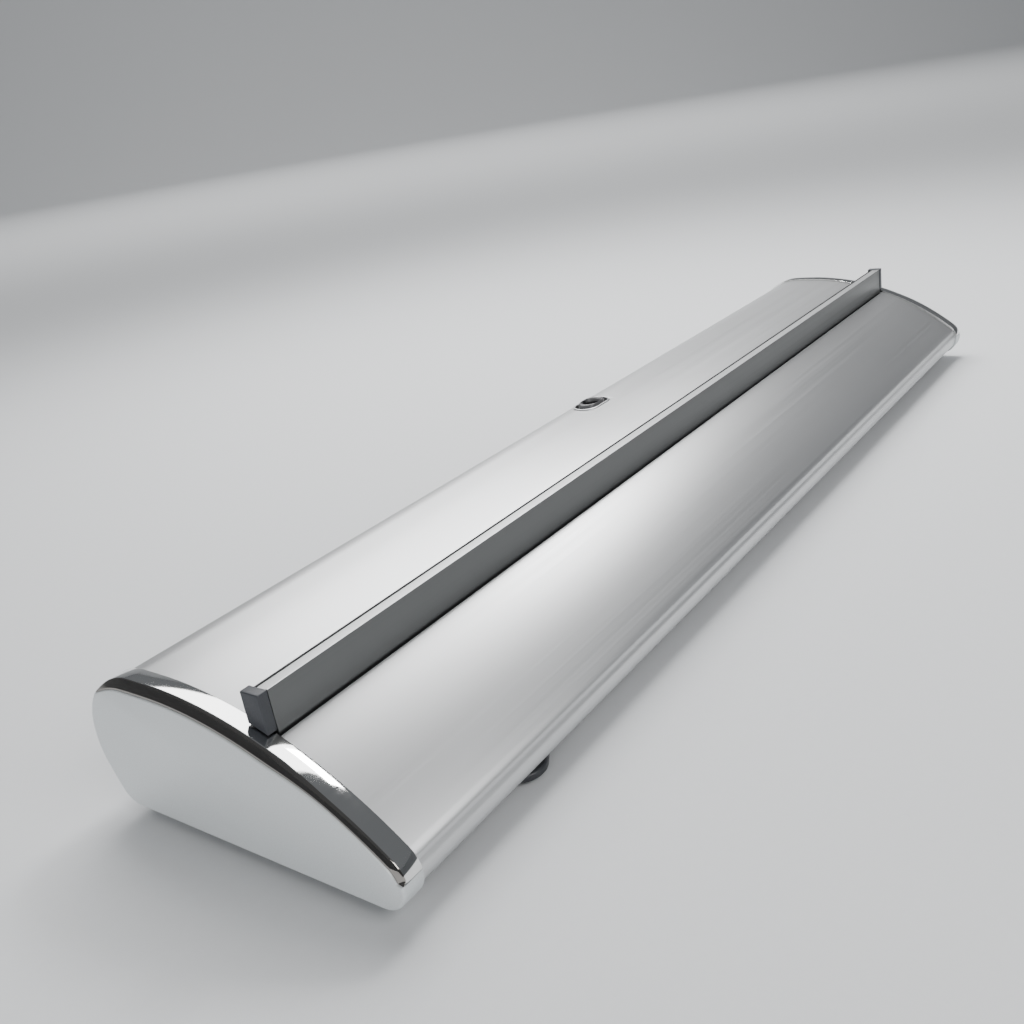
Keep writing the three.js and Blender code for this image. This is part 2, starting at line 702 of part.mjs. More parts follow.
/** The sprung roller with the wound banner, and the fixed pins that it turns on. */
function roller() {
  const tubeHalf = TUBE_LENGTH / 2;
  const springEnd = -tubeHalf + PLUG_LENGTH + 4;
  const arborEnd = END + FRAME_THICKNESS + 3;
  return placed(
    0,
    ROLLER_Y,
    ROLLER_Z,
    piece("roller_tube", "steel", ring(TUBE_RADIUS, TUBE_RADIUS - TUBE_WALL, -tubeHalf, tubeHalf, 12)),
    piece(
      "banner_roll",
      "bannerFilm",
      ring(ROLL_RADIUS, TUBE_RADIUS + GAP, -BANNER_WIDTH / 2, BANNER_WIDTH / 2, 12),
    ),
    piece("roller_plug_left", "blackPlastic", mirrored(rollerPlug())),
    piece("roller_plug_right", "blackPlastic", rollerPlug()),
    piece("roller_bush_left", "darkPlastic", mirrored(bush())),
    piece("roller_bush_right", "darkPlastic", bush()),
    piece("spring_arbor", "steel", rod(0, 0, ARBOR_RADIUS, -arborEnd, -arborEnd + ARBOR_LENGTH, 12)),
    piece("axle_pin", "steel", rod(0, 0, ARBOR_RADIUS, tubeHalf - PLUG_LENGTH, arborEnd, 12)),
    piece("torsion_spring", "springSteel", torsionSpring(springEnd, springEnd + 90)),
  );
}

// ---- Clamp rail ----

/** The rail: a hollow front jaw with caps, and a rear jaw that snaps shut on the film. */
function clampRail() {
  const frontJaw = [
    new THREE.Vector2(RAIL_FRONT, RAIL_FOOT),
    new THREE.Vector2(RAIL_FRONT + RAIL_WALL, RAIL_FOOT),
    new THREE.Vector2(RAIL_FRONT + RAIL_WALL, RAIL_TOP - RAIL_WALL),
    new THREE.Vector2(RAIL_BACK - RAIL_WALL, RAIL_TOP - RAIL_WALL),
    new THREE.Vector2(RAIL_BACK - RAIL_WALL, RAIL_FOOT + RAIL_BACK_LIFT),
    new THREE.Vector2(RAIL_BACK, RAIL_FOOT + RAIL_BACK_LIFT),
    new THREE.Vector2(RAIL_BACK, RAIL_TOP),
    new THREE.Vector2(RAIL_FRONT, RAIL_TOP),
  ];
  const rearJaw = [
    new THREE.Vector2(JAW_FRONT, JAW_FOOT),
    new THREE.Vector2(JAW_BACK, JAW_FOOT),
    new THREE.Vector2(JAW_BACK, HINGE_Z - HINGE_CLEARANCE - JAW_CHAMFER),
    new THREE.Vector2(JAW_BACK - JAW_CHAMFER, HINGE_Z - HINGE_CLEARANCE),
    new THREE.Vector2(JAW_FRONT, HINGE_Z - HINGE_CLEARANCE),
  ];
  const hingeStrip = rectangle(
    RAIL_BACK + GAP,
    HINGE_Y + HINGE_STRIP_BACK,
    HINGE_Z - HINGE_STRIP_DROP,
    HINGE_Z + HINGE_STRIP_RISE,
  );
  const web = rectangle(
    FILM_Y - FILM_THICKNESS / 2,
    FILM_Y + FILM_THICKNESS / 2,
    ROLLER_Z + WEB_START,
    HINGE_Z - HINGE_CLEARANCE,
  );
  const capTop = RAIL_TOP + GAP;
  const capSection = [
    new THREE.Vector2(RAIL_CAP_FRONT, sweepHeightAt(RAIL_CAP_FRONT) + RAIL_CAP_CLEARANCE),
    new THREE.Vector2(RAIL_CAP_BACK, sweepHeightAt(RAIL_CAP_BACK) + RAIL_CAP_CLEARANCE),
    new THREE.Vector2(RAIL_CAP_BACK, capTop),
    new THREE.Vector2(RAIL_CAP_FRONT, capTop),
  ];
  const plug = rectangle(
    RAIL_FRONT + RAIL_WALL + GAP,
    RAIL_BACK - RAIL_WALL - GAP,
    RAIL_PLUG_FOOT,
    RAIL_TOP - RAIL_WALL - GAP,
  );
  const capInside = RAIL_HALF_LENGTH + GAP;
  const cap = join(
    alongX(capSection, capInside, capInside + RAIL_CAP_LENGTH),
    alongX(plug, RAIL_HALF_LENGTH - RAIL_PLUG_LENGTH, capInside + 1),
  );
  const film = BANNER_WIDTH / 2;
  const bar = (section) => alongX(section, -RAIL_HALF_LENGTH, RAIL_HALF_LENGTH);
  return [
    piece("rail_front_jaw", "railAluminium", bar(frontJaw)),
    piece("rail_rear_jaw", "railAluminium", bar(rearJaw)),
    piece("rail_hinge_strip", "rubber", bar(hingeStrip)),
    piece("rail_cap_left", "darkPlastic", mirrored(cap)),
    piece("rail_cap_right", "darkPlastic", cap),
    piece("banner_web", "bannerFilm", alongX(web, -film, film)),
  ];
}

// ---- Feet ----

/** A swing foot on its pivot, with a pad under each end. */
function swingFoot(side, sign, turn) {
  const bottom = FOOT_TOP - FOOT_THICKNESS;
  const padX = FOOT_LENGTH / 2 - FOOT_WIDTH / 2;
  const pivot = roundHole(0, 0, PIVOT_RADIUS + GAP);
  const bar = roundEnded(FOOT_LENGTH, FOOT_WIDTH, bottom, FOOT_TOP, [pivot]);
  const screw = turned([
    [0, bottom - PIVOT_HEAD_HEIGHT],
    [PIVOT_HEAD_RADIUS, bottom - PIVOT_HEAD_HEIGHT],
    [PIVOT_HEAD_RADIUS, bottom - GAP],
    [PIVOT_RADIUS, bottom - GAP],
    [PIVOT_RADIUS, PIVOT_SHANK_TOP],
    [0, PIVOT_SHANK_TOP],
  ]);
  const washer = cut(
    post(WASHER_RADIUS, FOOT_TOP + GAP, BOTTOM - GAP),
    post(PIVOT_RADIUS + GAP, FOOT_TOP - 1, BOTTOM + 1),
  );
  const nut = cut(
    post(NUT_RADIUS, BOTTOM + BASE_THICKNESS + GAP, NUT_TOP, 6),
    post(PIVOT_RADIUS + GAP, BOTTOM, NUT_TOP + 1),
  );
  const pad = (x) => post(PAD_RADIUS, PAD_BOTTOM, bottom - GAP).translate(x, 0, 0);
  const swung = placed(
    0,
    0,
    0,
    piece(`swing_foot_${side}`, "footPaint", bar),
    piece(`foot_pad_${side}_outer`, "rubber", pad(sign * padX)),
    piece(`foot_pad_${side}_inner`, "rubber", pad(-sign * padX)),
  );
  swung.rotation.z = degrees(turn);
  return placed(
    sign * FOOT_PIVOT_X,
    FOOT_PIVOT_Y,
    0,
    swung,
    piece(`foot_pivot_${side}`, "steel", screw),
    piece(`foot_washer_${side}`, "blackPlastic", washer),
    piece(`pivot_nut_${side}`, "steel", nut),
  );
}

/** The four rubber feet under the base. */
function rubberFeet() {
  const corners = [
    ["front_left", -RUBBER_FOOT_X, RUBBER_FOOT_FRONT_Y],
    ["front_right", RUBBER_FOOT_X, RUBBER_FOOT_FRONT_Y],
    ["rear_left", -RUBBER_FOOT_X, RUBBER_FOOT_REAR_Y],
    ["rear_right", RUBBER_FOOT_X, RUBBER_FOOT_REAR_Y],
  ];
  return corners.map(([corner, x, y]) => {
    const shape = turned([
      [0, 0],
      [RUBBER_FOOT_RADIUS - RUBBER_FOOT_TAPER, 0],
      [RUBBER_FOOT_RADIUS, BOTTOM - GAP],
      [0, BOTTOM - GAP],
    ]);
    return placed(x, y, 0, piece(`rubber_foot_${corner}`, "rubber", shape));
  });
}

// ---- Assembly ----

const group = new THREE.Group();
group.add(
  piece("casing_front", "satinAluminium", casingFront()),
  piece("casing_rear", "satinAluminium", casingRear()),
  piece("base_plate", "satinAluminium", basePlate()),
  ...endPieces(),
  ...slotSeals(),
  poleSocket(),
  roller(),
  ...clampRail(),
  swingFoot("left", -1, LEFT_FOOT_REST),
  swingFoot("right", 1, 0),
  ...rubberFeet(),
);

export default group;
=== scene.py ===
"""The looks of a closed roll-up banner stand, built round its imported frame.

Lengths are in metres, in the frame's axes: +X along the casing, +Y to the rear, +Z up.
"""

import json
import logging
import math
from dataclasses import dataclass, field
from enum import Enum, IntEnum
from typing import Callable, Iterable, Sequence

import bmesh
import bpy
from mathutils import Matrix, Vector


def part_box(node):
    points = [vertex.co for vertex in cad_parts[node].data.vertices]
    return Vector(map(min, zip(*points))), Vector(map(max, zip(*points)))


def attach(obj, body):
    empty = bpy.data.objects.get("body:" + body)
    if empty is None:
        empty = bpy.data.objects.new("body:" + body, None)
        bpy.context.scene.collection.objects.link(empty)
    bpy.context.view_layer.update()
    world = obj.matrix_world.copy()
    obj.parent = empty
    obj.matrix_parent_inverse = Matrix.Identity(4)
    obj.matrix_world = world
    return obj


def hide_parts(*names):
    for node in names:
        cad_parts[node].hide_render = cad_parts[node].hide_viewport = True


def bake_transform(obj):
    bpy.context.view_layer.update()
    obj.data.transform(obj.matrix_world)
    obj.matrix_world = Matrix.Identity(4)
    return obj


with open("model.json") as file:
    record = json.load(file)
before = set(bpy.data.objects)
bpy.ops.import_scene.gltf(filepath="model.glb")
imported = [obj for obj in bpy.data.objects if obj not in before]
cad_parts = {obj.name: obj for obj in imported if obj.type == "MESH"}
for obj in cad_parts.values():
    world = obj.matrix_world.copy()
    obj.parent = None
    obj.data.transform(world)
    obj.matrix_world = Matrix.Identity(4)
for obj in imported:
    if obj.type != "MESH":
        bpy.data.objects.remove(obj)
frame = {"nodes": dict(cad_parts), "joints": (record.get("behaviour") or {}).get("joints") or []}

LOG = logging.getLogger("banner_stand")
MM = 0.001
GAP = 0.3 * MM

Point = tuple[float, float, float]
Section = list[tuple[float, float]]
Ring = list[Point]
Shape = tuple[list[Point], list[list[int]]]
Rib = tuple[tuple[float, float], tuple[float, float]]

ORIGIN: Point = (0.0, 0.0, 0.0)


class Body(str, Enum):
    """The stand's moving bodies, as the frame names them."""

    CASING = "casing"
    ROLLER = "roller"
    RAIL = "clamp_rail"
    JAW = "rail_jaw"
    LEFT_FOOT = "left_foot"
    RIGHT_FOOT = "right_foot"


# ---- Meshes ----


def shade(mesh: bpy.types.Mesh, crease: float = 32.0) -> None:
    """Smooths a mesh except across its creases.

    Args:
        mesh: The mesh to shade.
        crease: The angle in degrees above which an edge stays sharp.
    """
    for face in mesh.polygons:
        face.use_smooth = True
    mesh.set_sharp_from_angle(angle=math.radians(crease))


def cleaned(mesh: bpy.types.Mesh) -> None:
    """Merges a mesh's doubles and turns its faces outwards.

    Args:
        mesh: The mesh to clean.
    """
    work = bmesh.new()
    work.from_mesh(mesh)
    bmesh.ops.remove_doubles(work, verts=work.verts, dist=1e-6)
    bmesh.ops.recalc_face_normals(work, faces=work.faces)
    work.to_mesh(mesh)
    work.free()


def new_piece(
    name: str,
    points: Sequence[Point],
    faces: Sequence[Sequence[int]],
    finish: bpy.types.Material,
    crease: float = 32.0,
) -> bpy.types.Object:
    """Makes a mesh object at the origin.

    Args:
        name: The piece's name.
        points: Its vertices.
        faces: Its faces, as lists of vertex numbers.
        finish: Its material.
        crease: The angle in degrees above which an edge stays sharp.

    Returns:
        The new object.
    """
    mesh = bpy.data.meshes.new(name)
    mesh.from_pydata(points, [], faces)
    cleaned(mesh)
    shade(mesh, crease)
    mesh.materials.append(finish)
    piece = bpy.data.objects.new(name, mesh)
    bpy.context.scene.collection.objects.link(piece)
    return piece


def baked(piece: bpy.types.Object, crease: float = 32.0) -> bpy.types.Object:
    """Applies a piece's modifiers to its mesh.

    Args:
        piece: The object, which may carry modifiers.
        crease: The angle in degrees above which an edge stays sharp.

    Returns:
        The same object, with a plain mesh.
    """
    bpy.context.view_layer.update()
    graph = bpy.context.evaluated_depsgraph_get()
    mesh = bpy.data.meshes.new_from_object(piece.evaluated_get(graph), depsgraph=graph)
    piece.modifiers.clear()
    piece.data = mesh
    cleaned(mesh)
    shade(mesh, crease)
    return piece


def softened(piece: bpy.types.Object, width: float, segments: int = 3, angle: float = 35.0) -> bpy.types.Object:
    """Rounds a piece's sharp edges.

    Args:
        piece: The object.
        width: The rounding's width.
        segments: How many strips the rounding has.
        angle: The angle in degrees above which an edge is rounded.

    Returns:
        The same object, rounded.
    """
    bevel = piece.modifiers.new("edge_rounding", "BEVEL")
    bevel.width = width
    bevel.segments = segments
    bevel.limit_method = "ANGLE"
    bevel.angle_limit = math.radians(angle)
    bevel.harden_normals = False
    return baked(piece)


def merged(
    piece: bpy.types.Object, others: Iterable[bpy.types.Object], crease: float = 32.0
) -> bpy.types.Object:
    """Adds other objects' meshes to a piece and removes those objects.

    Args:
        piece: The object that stays.
        others: The objects to add, built one by one as they are needed.
        crease: The angle in degrees above which an edge stays sharp.

    Returns:
        The piece.
    """
    work = bmesh.new()
    work.from_mesh(piece.data)
    for other in others:
        work.from_mesh(other.data)
        bpy.data.objects.remove(other)
    work.to_mesh(piece.data)
    work.free()
    shade(piece.data, crease)
    return piece


def loft(rings: Sequence[Ring], capped: bool = True, joined: bool = False) -> Shape:
    """Skins closed rings that all have the same number of points.

    Args:
        rings: The rings in order.
        capped: Whether the first and last rings are closed with a face.
        joined: Whether the last ring is joined to the first.

    Returns:
        The points and the faces.
    """
    count = len(rings[0])
    points = [point for ring in rings for point in ring]
    faces: list[list[int]] = []
    steps = len(rings) if joined else len(rings) - 1
    for row in range(steps):
        this = row * count
        following = ((row + 1) % len(rings)) * count
        for i in range(count):
            j = (i + 1) % count
            faces.append([this + i, this + j, following + j, following + i])
    if capped and not joined:
        faces.append(list(range(count)))
        faces.append([(len(rings) - 1) * count + i for i in reversed(range(count))])
    return points, faces


def bar_along_x(section: Section, stations: Sequence[float]) -> Shape:
    """Extrudes a section in Y and Z along X.

    Args:
        section: The outline.
        stations: The X places of its rings, in order.

    Returns:
        The points and the faces.
    """
    return loft([[(x, y, z) for y, z in section] for x in stations])


def round_topped(low: Point, high: Point, steps: int = 8) -> Section:
    """A soft strip's outline in Y and Z: a box's sides with a half-round top.

    Args:
        low: The box's lowest corner.
        high: The box's highest corner.
        steps: The number of facets in the half round.

    Returns:
        The outline.
    """
    middle, radius = 0.5 * (low[1] + high[1]), 0.5 * (high[1] - low[1])
    turns = [math.pi * i / steps for i in range(steps + 1)]
    crown = [(middle + radius * math.cos(t), high[2] - radius + radius * math.sin(t)) for t in turns]
    return [(high[1], low[2]), *crown, (low[1], low[2])]


def quarter_round(steps: int = 5) -> Section:
    """The places along a quarter round of unit radius.

    Args:
        steps: The number of facets.

    Returns:
        Pairs of 1 less the turn's cosine and 1 less its sine.
    """
    turns = [0.5 * math.pi * i / steps for i in range(steps + 1)]
    return [(1 - math.cos(turn), 1 - math.sin(turn)) for turn in turns]


def turned(
    profile: Section, centre: Point = ORIGIN, sides: int = 48, least: float = 1e-7, capped: bool = True
) -> Shape:
    """Turns a profile of (radius, height) pairs about a vertical axis.

    Args:
        profile: The profile, starting at the axis.
        centre: The axis's foot.
        sides: The number of sides.
        least: The radius that stands for a point on the axis.
        capped: Whether the first and last rings are closed with a face.

    Returns:
        The points and the faces.
    """
    turns = [math.tau * i / sides for i in range(sides)]
    rings: list[Ring] = []
    for radius, height in profile:
        across, z = max(radius, least), centre[2] + height
        rings.append([(centre[0] + across * math.cos(t), centre[1] + across * math.sin(t), z) for t in turns])
    return loft(rings, capped)


def round_ended(length: float, width: float, sides: int = 48) -> Section:
    """A flat bar's outline with round ends, long on X.

    Args:
        length: Its whole length.
        width: Its width.
        sides: The number of points, half for each end.

    Returns:
        The outline.
    """
    outline: Section = []
    reach = 0.5 * (length - width)
    half = sides // 2
    for end in (1, -1):
        for i in range(half):
            angle = math.pi * (i / (half - 1) - 0.5)
            outline.append((end * (reach + 0.5 * width * math.cos(angle)), end * 0.5 * width * math.sin(angle)))
    return outline


def level(outline: Section, z: float, centre: tuple[float, float] = (0.0, 0.0), turn: float = 0.0) -> Ring:
    """Lays a flat outline at a height.

    Args:
        outline: The outline in X and Y.
        z: The height.
        centre: Where its origin goes.
        turn: Its turn in radians about that point.

    Returns:
        The ring.
    """
    c, s = math.cos(turn), math.sin(turn)
    return [(centre[0] + c * x - s * y, centre[1] + s * x + c * y, z) for x, y in outline]


def finished(
    piece: bpy.types.Object, body: Body, replaces: Iterable[str] = ()
) -> bpy.types.Object:
    """Puts a piece on its body and reports it.

    Args:
        piece: The object.
        body: The body it moves with.
        replaces: The nodes it stands for.

    Returns:
        The same object.
    """
    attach(piece, body.value)
    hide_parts(*replaces)
    LOG.info("%s: %d faces on %s", piece.name, len(piece.data.polygons), body.value)
    return piece


def floor_places(names: Iterable[str]) -> list[Point]:
    """The middles of nodes' boxes, at the floor's height.

    Args:
        names: The nodes.

    Returns:
        One place for each node.
    """
    boxes = [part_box(name) for name in names]
    return [(0.5 * (low[0] + high[0]), 0.5 * (low[1] + high[1]), 0.0) for low, high in boxes]


# ---- Finishes ----


class NodeSheet:
    """A material's node tree, with short calls for the nodes that the finishes share."""

    def __init__(self, name: str, **settings: float | tuple[float, ...]) -> None:
        """Makes the material.

        Args:
            name: The material's name.
            settings: The shader's constant inputs, with underscores for spaces.
        """
        self.material = bpy.data.materials.new(name)
        self.material.use_nodes = True
        self.nodes = self.material.node_tree.nodes
        self.links = self.material.node_tree.links
        self.shader = self.nodes["Principled BSDF"]
        for key, value in settings.items():
            self.shader.inputs[key.replace("_", " ")].default_value = value
        self.place = self.nodes.new("ShaderNodeTexCoord").outputs["Object"]

    def noise(self, scale: Point, detail: float = 2.0, shift: float = 0.0) -> bpy.types.NodeSocket:
        """A noise pattern.

        Args:
            scale: Its scale on each axis, in cycles per metre.
            detail: The noise's detail.
            shift: How far it is moved, so that two patterns differ.

        Returns:
            The pattern's value.
        """
        mapping = self.nodes.new("ShaderNodeMapping")
        mapping.inputs["Scale"].default_value = scale
        mapping.inputs["Location"].default_value = (shift, shift, shift)
        noise = self.nodes.new("ShaderNodeTexNoise")
        noise.inputs["Scale"].default_value = 1.0
        noise.inputs["Detail"].default_value = detail
        self.links.new(self.place, mapping.inputs["Vector"])
        self.links.new(mapping.outputs["Vector"], noise.inputs["Vector"])
        return noise.outputs["Fac"]

    def spread(self, source: bpy.types.NodeSocket, low: float, high: float) -> bpy.types.NodeSocket:
        """Spreads a pattern's middle over a range.

        Args:
            source: The pattern.
            low: The value at its dark end.
            high: The value at its light end.

        Returns:
            The new value.
        """
        node = self.nodes.new("ShaderNodeMapRange")
        node.inputs["From Min"].default_value = 0.3
        node.inputs["From Max"].default_value = 0.7
        node.inputs["To Min"].default_value = low
        node.inputs["To Max"].default_value = high
        self.links.new(source, node.inputs["Value"])
        return node.outputs["Result"]

    def colour(self, source: bpy.types.NodeSocket, dark: Point, light: Point) -> None:
        """Colours the shader between two tones.

        Args:
            source: The pattern.
            dark: The tone at its dark end.
            light: The tone at its light end.
        """
        mix = self.nodes.new("ShaderNodeMix")
        mix.data_type = "RGBA"
        mix.inputs["A"].default_value = (*dark, 1.0)
        mix.inputs["B"].default_value = (*light, 1.0)
        self.links.new(self.spread(source, 0.0, 1.0), mix.inputs["Factor"])
        self.links.new(mix.outputs["Result"], self.shader.inputs["Base Color"])

    def roughness(self, source: bpy.types.NodeSocket, low: float, high: float) -> None:
        """Varies the shader's roughness.

        Args:
            source: The pattern.
            low: The roughness at its dark end.
            high: The roughness at its light end.
        """
        self.links.new(self.spread(source, low, high), self.shader.inputs["Roughness"])

    def relief(self, *layers: tuple[bpy.types.NodeSocket, float]) -> None:
        """Adds bump.

        Args:
            layers: Pairs of a pattern and its height in metres.
        """
        previous = None
        for source, height in layers:
            bump = self.nodes.new("ShaderNodeBump")
            bump.inputs["Strength"].default_value = 1.0
            bump.inputs["Distance"].default_value = height
            self.links.new(source, bump.inputs["Height"])
            if previous is not None:
                self.links.new(previous, bump.inputs["Normal"])
            previous = bump.outputs["Normal"]
        self.links.new(previous, self.shader.inputs["Normal"])


def tones(base: Point, spread: float) -> tuple[Point, Point]:
    """A darker and a lighter tone of a colour.

    Args:
        base: The colour.
        spread: How far each is from it, as a share.

    Returns:
        The two tones.
    """
    dark = tuple(value * (1 - spread) for value in base)
    light = tuple(min(1.0, value * (1 + spread)) for value in base)
    return dark, light


@dataclass(frozen=True)
class Anodised:
    """Satin anodised aluminium, with fine extrusion lines along X and an etched grain."""

    name: str
    colour: Point
    smooth: float = 0.40
    rough: float = 0.46
    line_height: float = 0.12e-6

    def make(self) -> bpy.types.Material:
        """Returns the material."""
        sheet = NodeSheet(self.name, Metallic=1.0)
        lines = sheet.noise((1.5, 1400.0, 1400.0), 3.0)
        grain = sheet.noise((2600.0, 2600.0, 2600.0), 1.0, 7.0)
        cloud = sheet.noise((5.0, 16.0, 16.0), 2.0, 3.0)
        sheet.colour(cloud, *tones(self.colour, 0.025))
        sheet.roughness(lines, self.smooth, self.rough)
        sheet.relief((lines, self.line_height), (grain, 4e-6))
        return sheet.material


@dataclass(frozen=True)
class Chrome:
    """Polished chrome plate, with faint wiping marks."""

    name: str
    colour: Point = (0.80, 0.80, 0.79)

    def make(self) -> bpy.types.Material:
        """Returns the material."""
        sheet = NodeSheet(self.name, Metallic=1.0)
        wipes = sheet.noise((60.0, 400.0, 60.0), 3.0)
        cloud = sheet.noise((20.0, 20.0, 20.0), 2.0, 5.0)
        sheet.colour(cloud, *tones(self.colour, 0.02))
        sheet.roughness(wipes, 0.05, 0.09)
        return sheet.material


@dataclass(frozen=True)
class SilverMoulding:
    """Silver-painted moulding with a fine metallic flake."""

    name: str
    colour: Point = (0.66, 0.69, 0.70)

    def make(self) -> bpy.types.Material:
        """Returns the material."""
        sheet = NodeSheet(self.name, Metallic=0.35)
        flake = sheet.noise((2200.0, 2200.0, 2200.0), 2.0)
        cloud = sheet.noise((14.0, 14.0, 14.0), 3.0, 2.0)
        sheet.colour(flake, *tones(self.colour, 0.06))
        sheet.roughness(cloud, 0.42, 0.50)
        sheet.relief((flake, 6e-6))
        return sheet.material


@dataclass(frozen=True)
class Moulded:
    """Plastic or rubber with a fine moulded texture."""

    name: str
    colour: Point
    smooth: float = 0.42
    rough: float = 0.56
    texture: float = 12e-6

    def make(self) -> bpy.types.Material:
        """Returns the material."""
        sheet = NodeSheet(self.name, Metallic=0.0)
        texture = sheet.noise((1500.0, 1500.0, 1500.0), 2.0)
        cloud = sheet.noise((40.0, 40.0, 40.0), 3.0, 4.0)
        sheet.colour(cloud, *tones(self.colour, 0.12))
        sheet.roughness(texture, self.smooth, self.rough)
        sheet.relief((texture, self.texture))
        return sheet.material


@dataclass(frozen=True)
class Plated:
    """Zinc-plated or bright steel with turning marks and slight spots."""

    name: str
    colour: Point = (0.56, 0.57, 0.58)

    def make(self) -> bpy.types.Material:
        """Returns the material."""
        sheet = NodeSheet(self.name, Metallic=1.0)
        spots = sheet.noise((300.0, 300.0, 300.0), 4.0)
        marks = sheet.noise((3000.0, 500.0, 500.0), 2.0, 6.0)
        sheet.colour(spots, *tones(self.colour, 0.10))
        sheet.roughness(spots, 0.24, 0.40)
        sheet.relief((marks, 2e-6))
        return sheet.material


@dataclass(frozen=True)
class Film:
    """Banner film: a plain off-white face with a very fine woven backing showing through."""

    name: str
    colour: Point = (0.80, 0.80, 0.78)

    def make(self) -> bpy.types.Material:
        """Returns the material."""
        sheet = NodeSheet(self.name, Metallic=0.0)
        warp = sheet.noise((2500.0, 90.0, 90.0), 1.0)
        weft = sheet.noise((90.0, 2500.0, 2500.0), 1.0, 8.0)
        cloud = sheet.noise((7.0, 7.0, 7.0), 2.0, 1.0)
        sheet.colour(cloud, *tones(self.colour, 0.015))
        sheet.roughness(warp, 0.40, 0.48)
        sheet.relief((warp, 5e-6), (weft, 5e-6))
        return sheet.material


class Finishes:
    """Every finish of the stand, made once."""

    def __init__(self) -> None:
        """Makes the materials."""
        self.casing = Anodised("satin_anodised", (0.66, 0.665, 0.67)).make()
        self.rail = Anodised("rail_anodised", (0.15, 0.154, 0.153), 0.36, 0.44).make()
        self.chrome = Chrome("polished_chrome").make()
        # A darker, brownish copy of the chrome: its tone is a painted dark reflection for the trims' outer
        # bevels.
        self.smoked = Chrome("chrome_painted_dark_reflection", (0.34, 0.32, 0.30)).make()
        self.silver = SilverMoulding("silver_moulding").make()
        self.steel = Plated("zinc_plated_steel").make()
        self.spring = Plated("oiled_spring_steel", (0.30, 0.31, 0.33)).make()
        self.slate = Moulded("slate_plastic", (0.040, 0.043, 0.050)).make()
        # The socket's plastic, lighter and smoother than the slate; its lighter tone is painted light falling
        # from above.
        self.socket = Moulded("grey_plastic_painted_light", (0.09, 0.09, 0.093), 0.30, 0.40, 6e-6).make()
        self.black = Moulded("black_plastic", (0.014, 0.014, 0.016)).make()
        self.rubber = Moulded("black_rubber", (0.011, 0.011, 0.012), 0.6, 0.8, 20e-6).make()
        self.foot = Moulded("powder_coat", (0.030, 0.032, 0.036), 0.30, 0.42, 25e-6).make()
        self.film = Film("banner_film").make()


# ---- Geometry Nodes ----


class NodeTree:
    """A Geometry Nodes tree with named inputs, run once on a carrier object."""

    def __init__(self, name: str) -> None:
        """Makes an empty tree with a geometry input and output.

        Args:
            name: The tree's name.
        """
        self.tree = bpy.data.node_groups.new(name, "GeometryNodeTree")
        self.values: dict[str, object] = {}
        self.tree.interface.new_socket(name="Geometry", in_out="INPUT", socket_type="NodeSocketGeometry")
        self.tree.interface.new_socket(name="Geometry", in_out="OUTPUT", socket_type="NodeSocketGeometry")
        self.group_in = self.tree.nodes.new("NodeGroupInput")
        self.group_out = self.tree.nodes.new("NodeGroupOutput")

    @property
    def carried(self) -> bpy.types.NodeSocket:
        """The carrier's own geometry."""
        return self.group_in.outputs["Geometry"]

    def given(self, name: str, value: object, kind: str = "NodeSocketFloat") -> bpy.types.NodeSocket:
        """Adds a named input.

        Args:
            name: The input's name.
            value: Its value.
            kind: Its socket type.

        Returns:
            The socket inside the tree.
        """
        item = self.tree.interface.new_socket(name=name, in_out="INPUT", socket_type=kind)
        self.values[item.identifier] = value
        return self.group_in.outputs[name]

    def node(self, kind: str, links: dict[str, object] | None = None, **settings: object) -> bpy.types.Node:
        """Adds a node.

        Args:
            kind: Its type name.
            links: Its inputs by name: a socket to link, or a constant.
            settings: Its own properties.

        Returns:
            The node.
        """
        node = self.tree.nodes.new(kind)
        for key, value in settings.items():
            setattr(node, key, value)
        for key, value in (links or {}).items():
            if isinstance(value, bpy.types.NodeSocket):
                self.tree.links.new(value, node.inputs[key])
            else:
                node.inputs[key].default_value = value
        return node

    def run(
        self, name: str, points: Sequence[Point], shape: bpy.types.NodeSocket, finish: bpy.types.Material
    ) -> bpy.types.Object:
        """Ends the tree and turns its result into a plain mesh.

        Args:
            name: The new piece's name.
            points: The carrier's vertices.
            shape: The geometry to keep.
            finish: The material.

        Returns:
            The piece.
        """
        finish_in = self.given("Finish", finish, "NodeSocketMaterial")
        real = self.node("GeometryNodeRealizeInstances", {"Geometry": shape})
        dressed = self.node("GeometryNodeSetMaterial", {"Geometry": real.outputs[0], "Material": finish_in})
        self.tree.links.new(dressed.outputs[0], self.group_out.inputs["Geometry"])
        mesh = bpy.data.meshes.new(name)
        mesh.from_pydata(points, [], [])
        piece = bpy.data.objects.new(name, mesh)
        bpy.context.scene.collection.objects.link(piece)
        modifier = piece.modifiers.new(name, "NODES")
        modifier.node_group = self.tree
        for identifier, value in self.values.items():
            modifier[identifier] = value
        baked(piece)
        if not piece.data.materials:
            piece.data.materials.append(finish)
        return piece


def repeated(
    name: str, template: bpy.types.Object, places: Sequence[Point], finish: bpy.types.Material
) -> bpy.types.Object:
    """Repeats a template mesh at places, as one piece, and removes the template.

    Args:
        name: The new piece's name.
        template: The object to repeat, about its own origin.
        places: Where each copy goes.
        finish: The material.

    Returns:
        The piece.
    """
    tree = NodeTree(name)
    pattern = tree.given("Pattern", template, "NodeSocketObject")
    source = tree.node("GeometryNodeObjectInfo", {"Object": pattern})
    copies = tree.node(
        "GeometryNodeInstanceOnPoints", {"Points": tree.carried, "Instance": source.outputs["Geometry"]}
    )
    piece = tree.run(name, places, copies.outputs["Instances"], finish)
    bpy.data.objects.remove(template)
    return piece


# ---- The casing's section ----


class Stretch(IntEnum):
    """The arcs of the casing's outline, clockwise from under the nose."""

    NOSE = 0
    SWEEP = 1
    SHOULDER = 2
    HEEL = 3


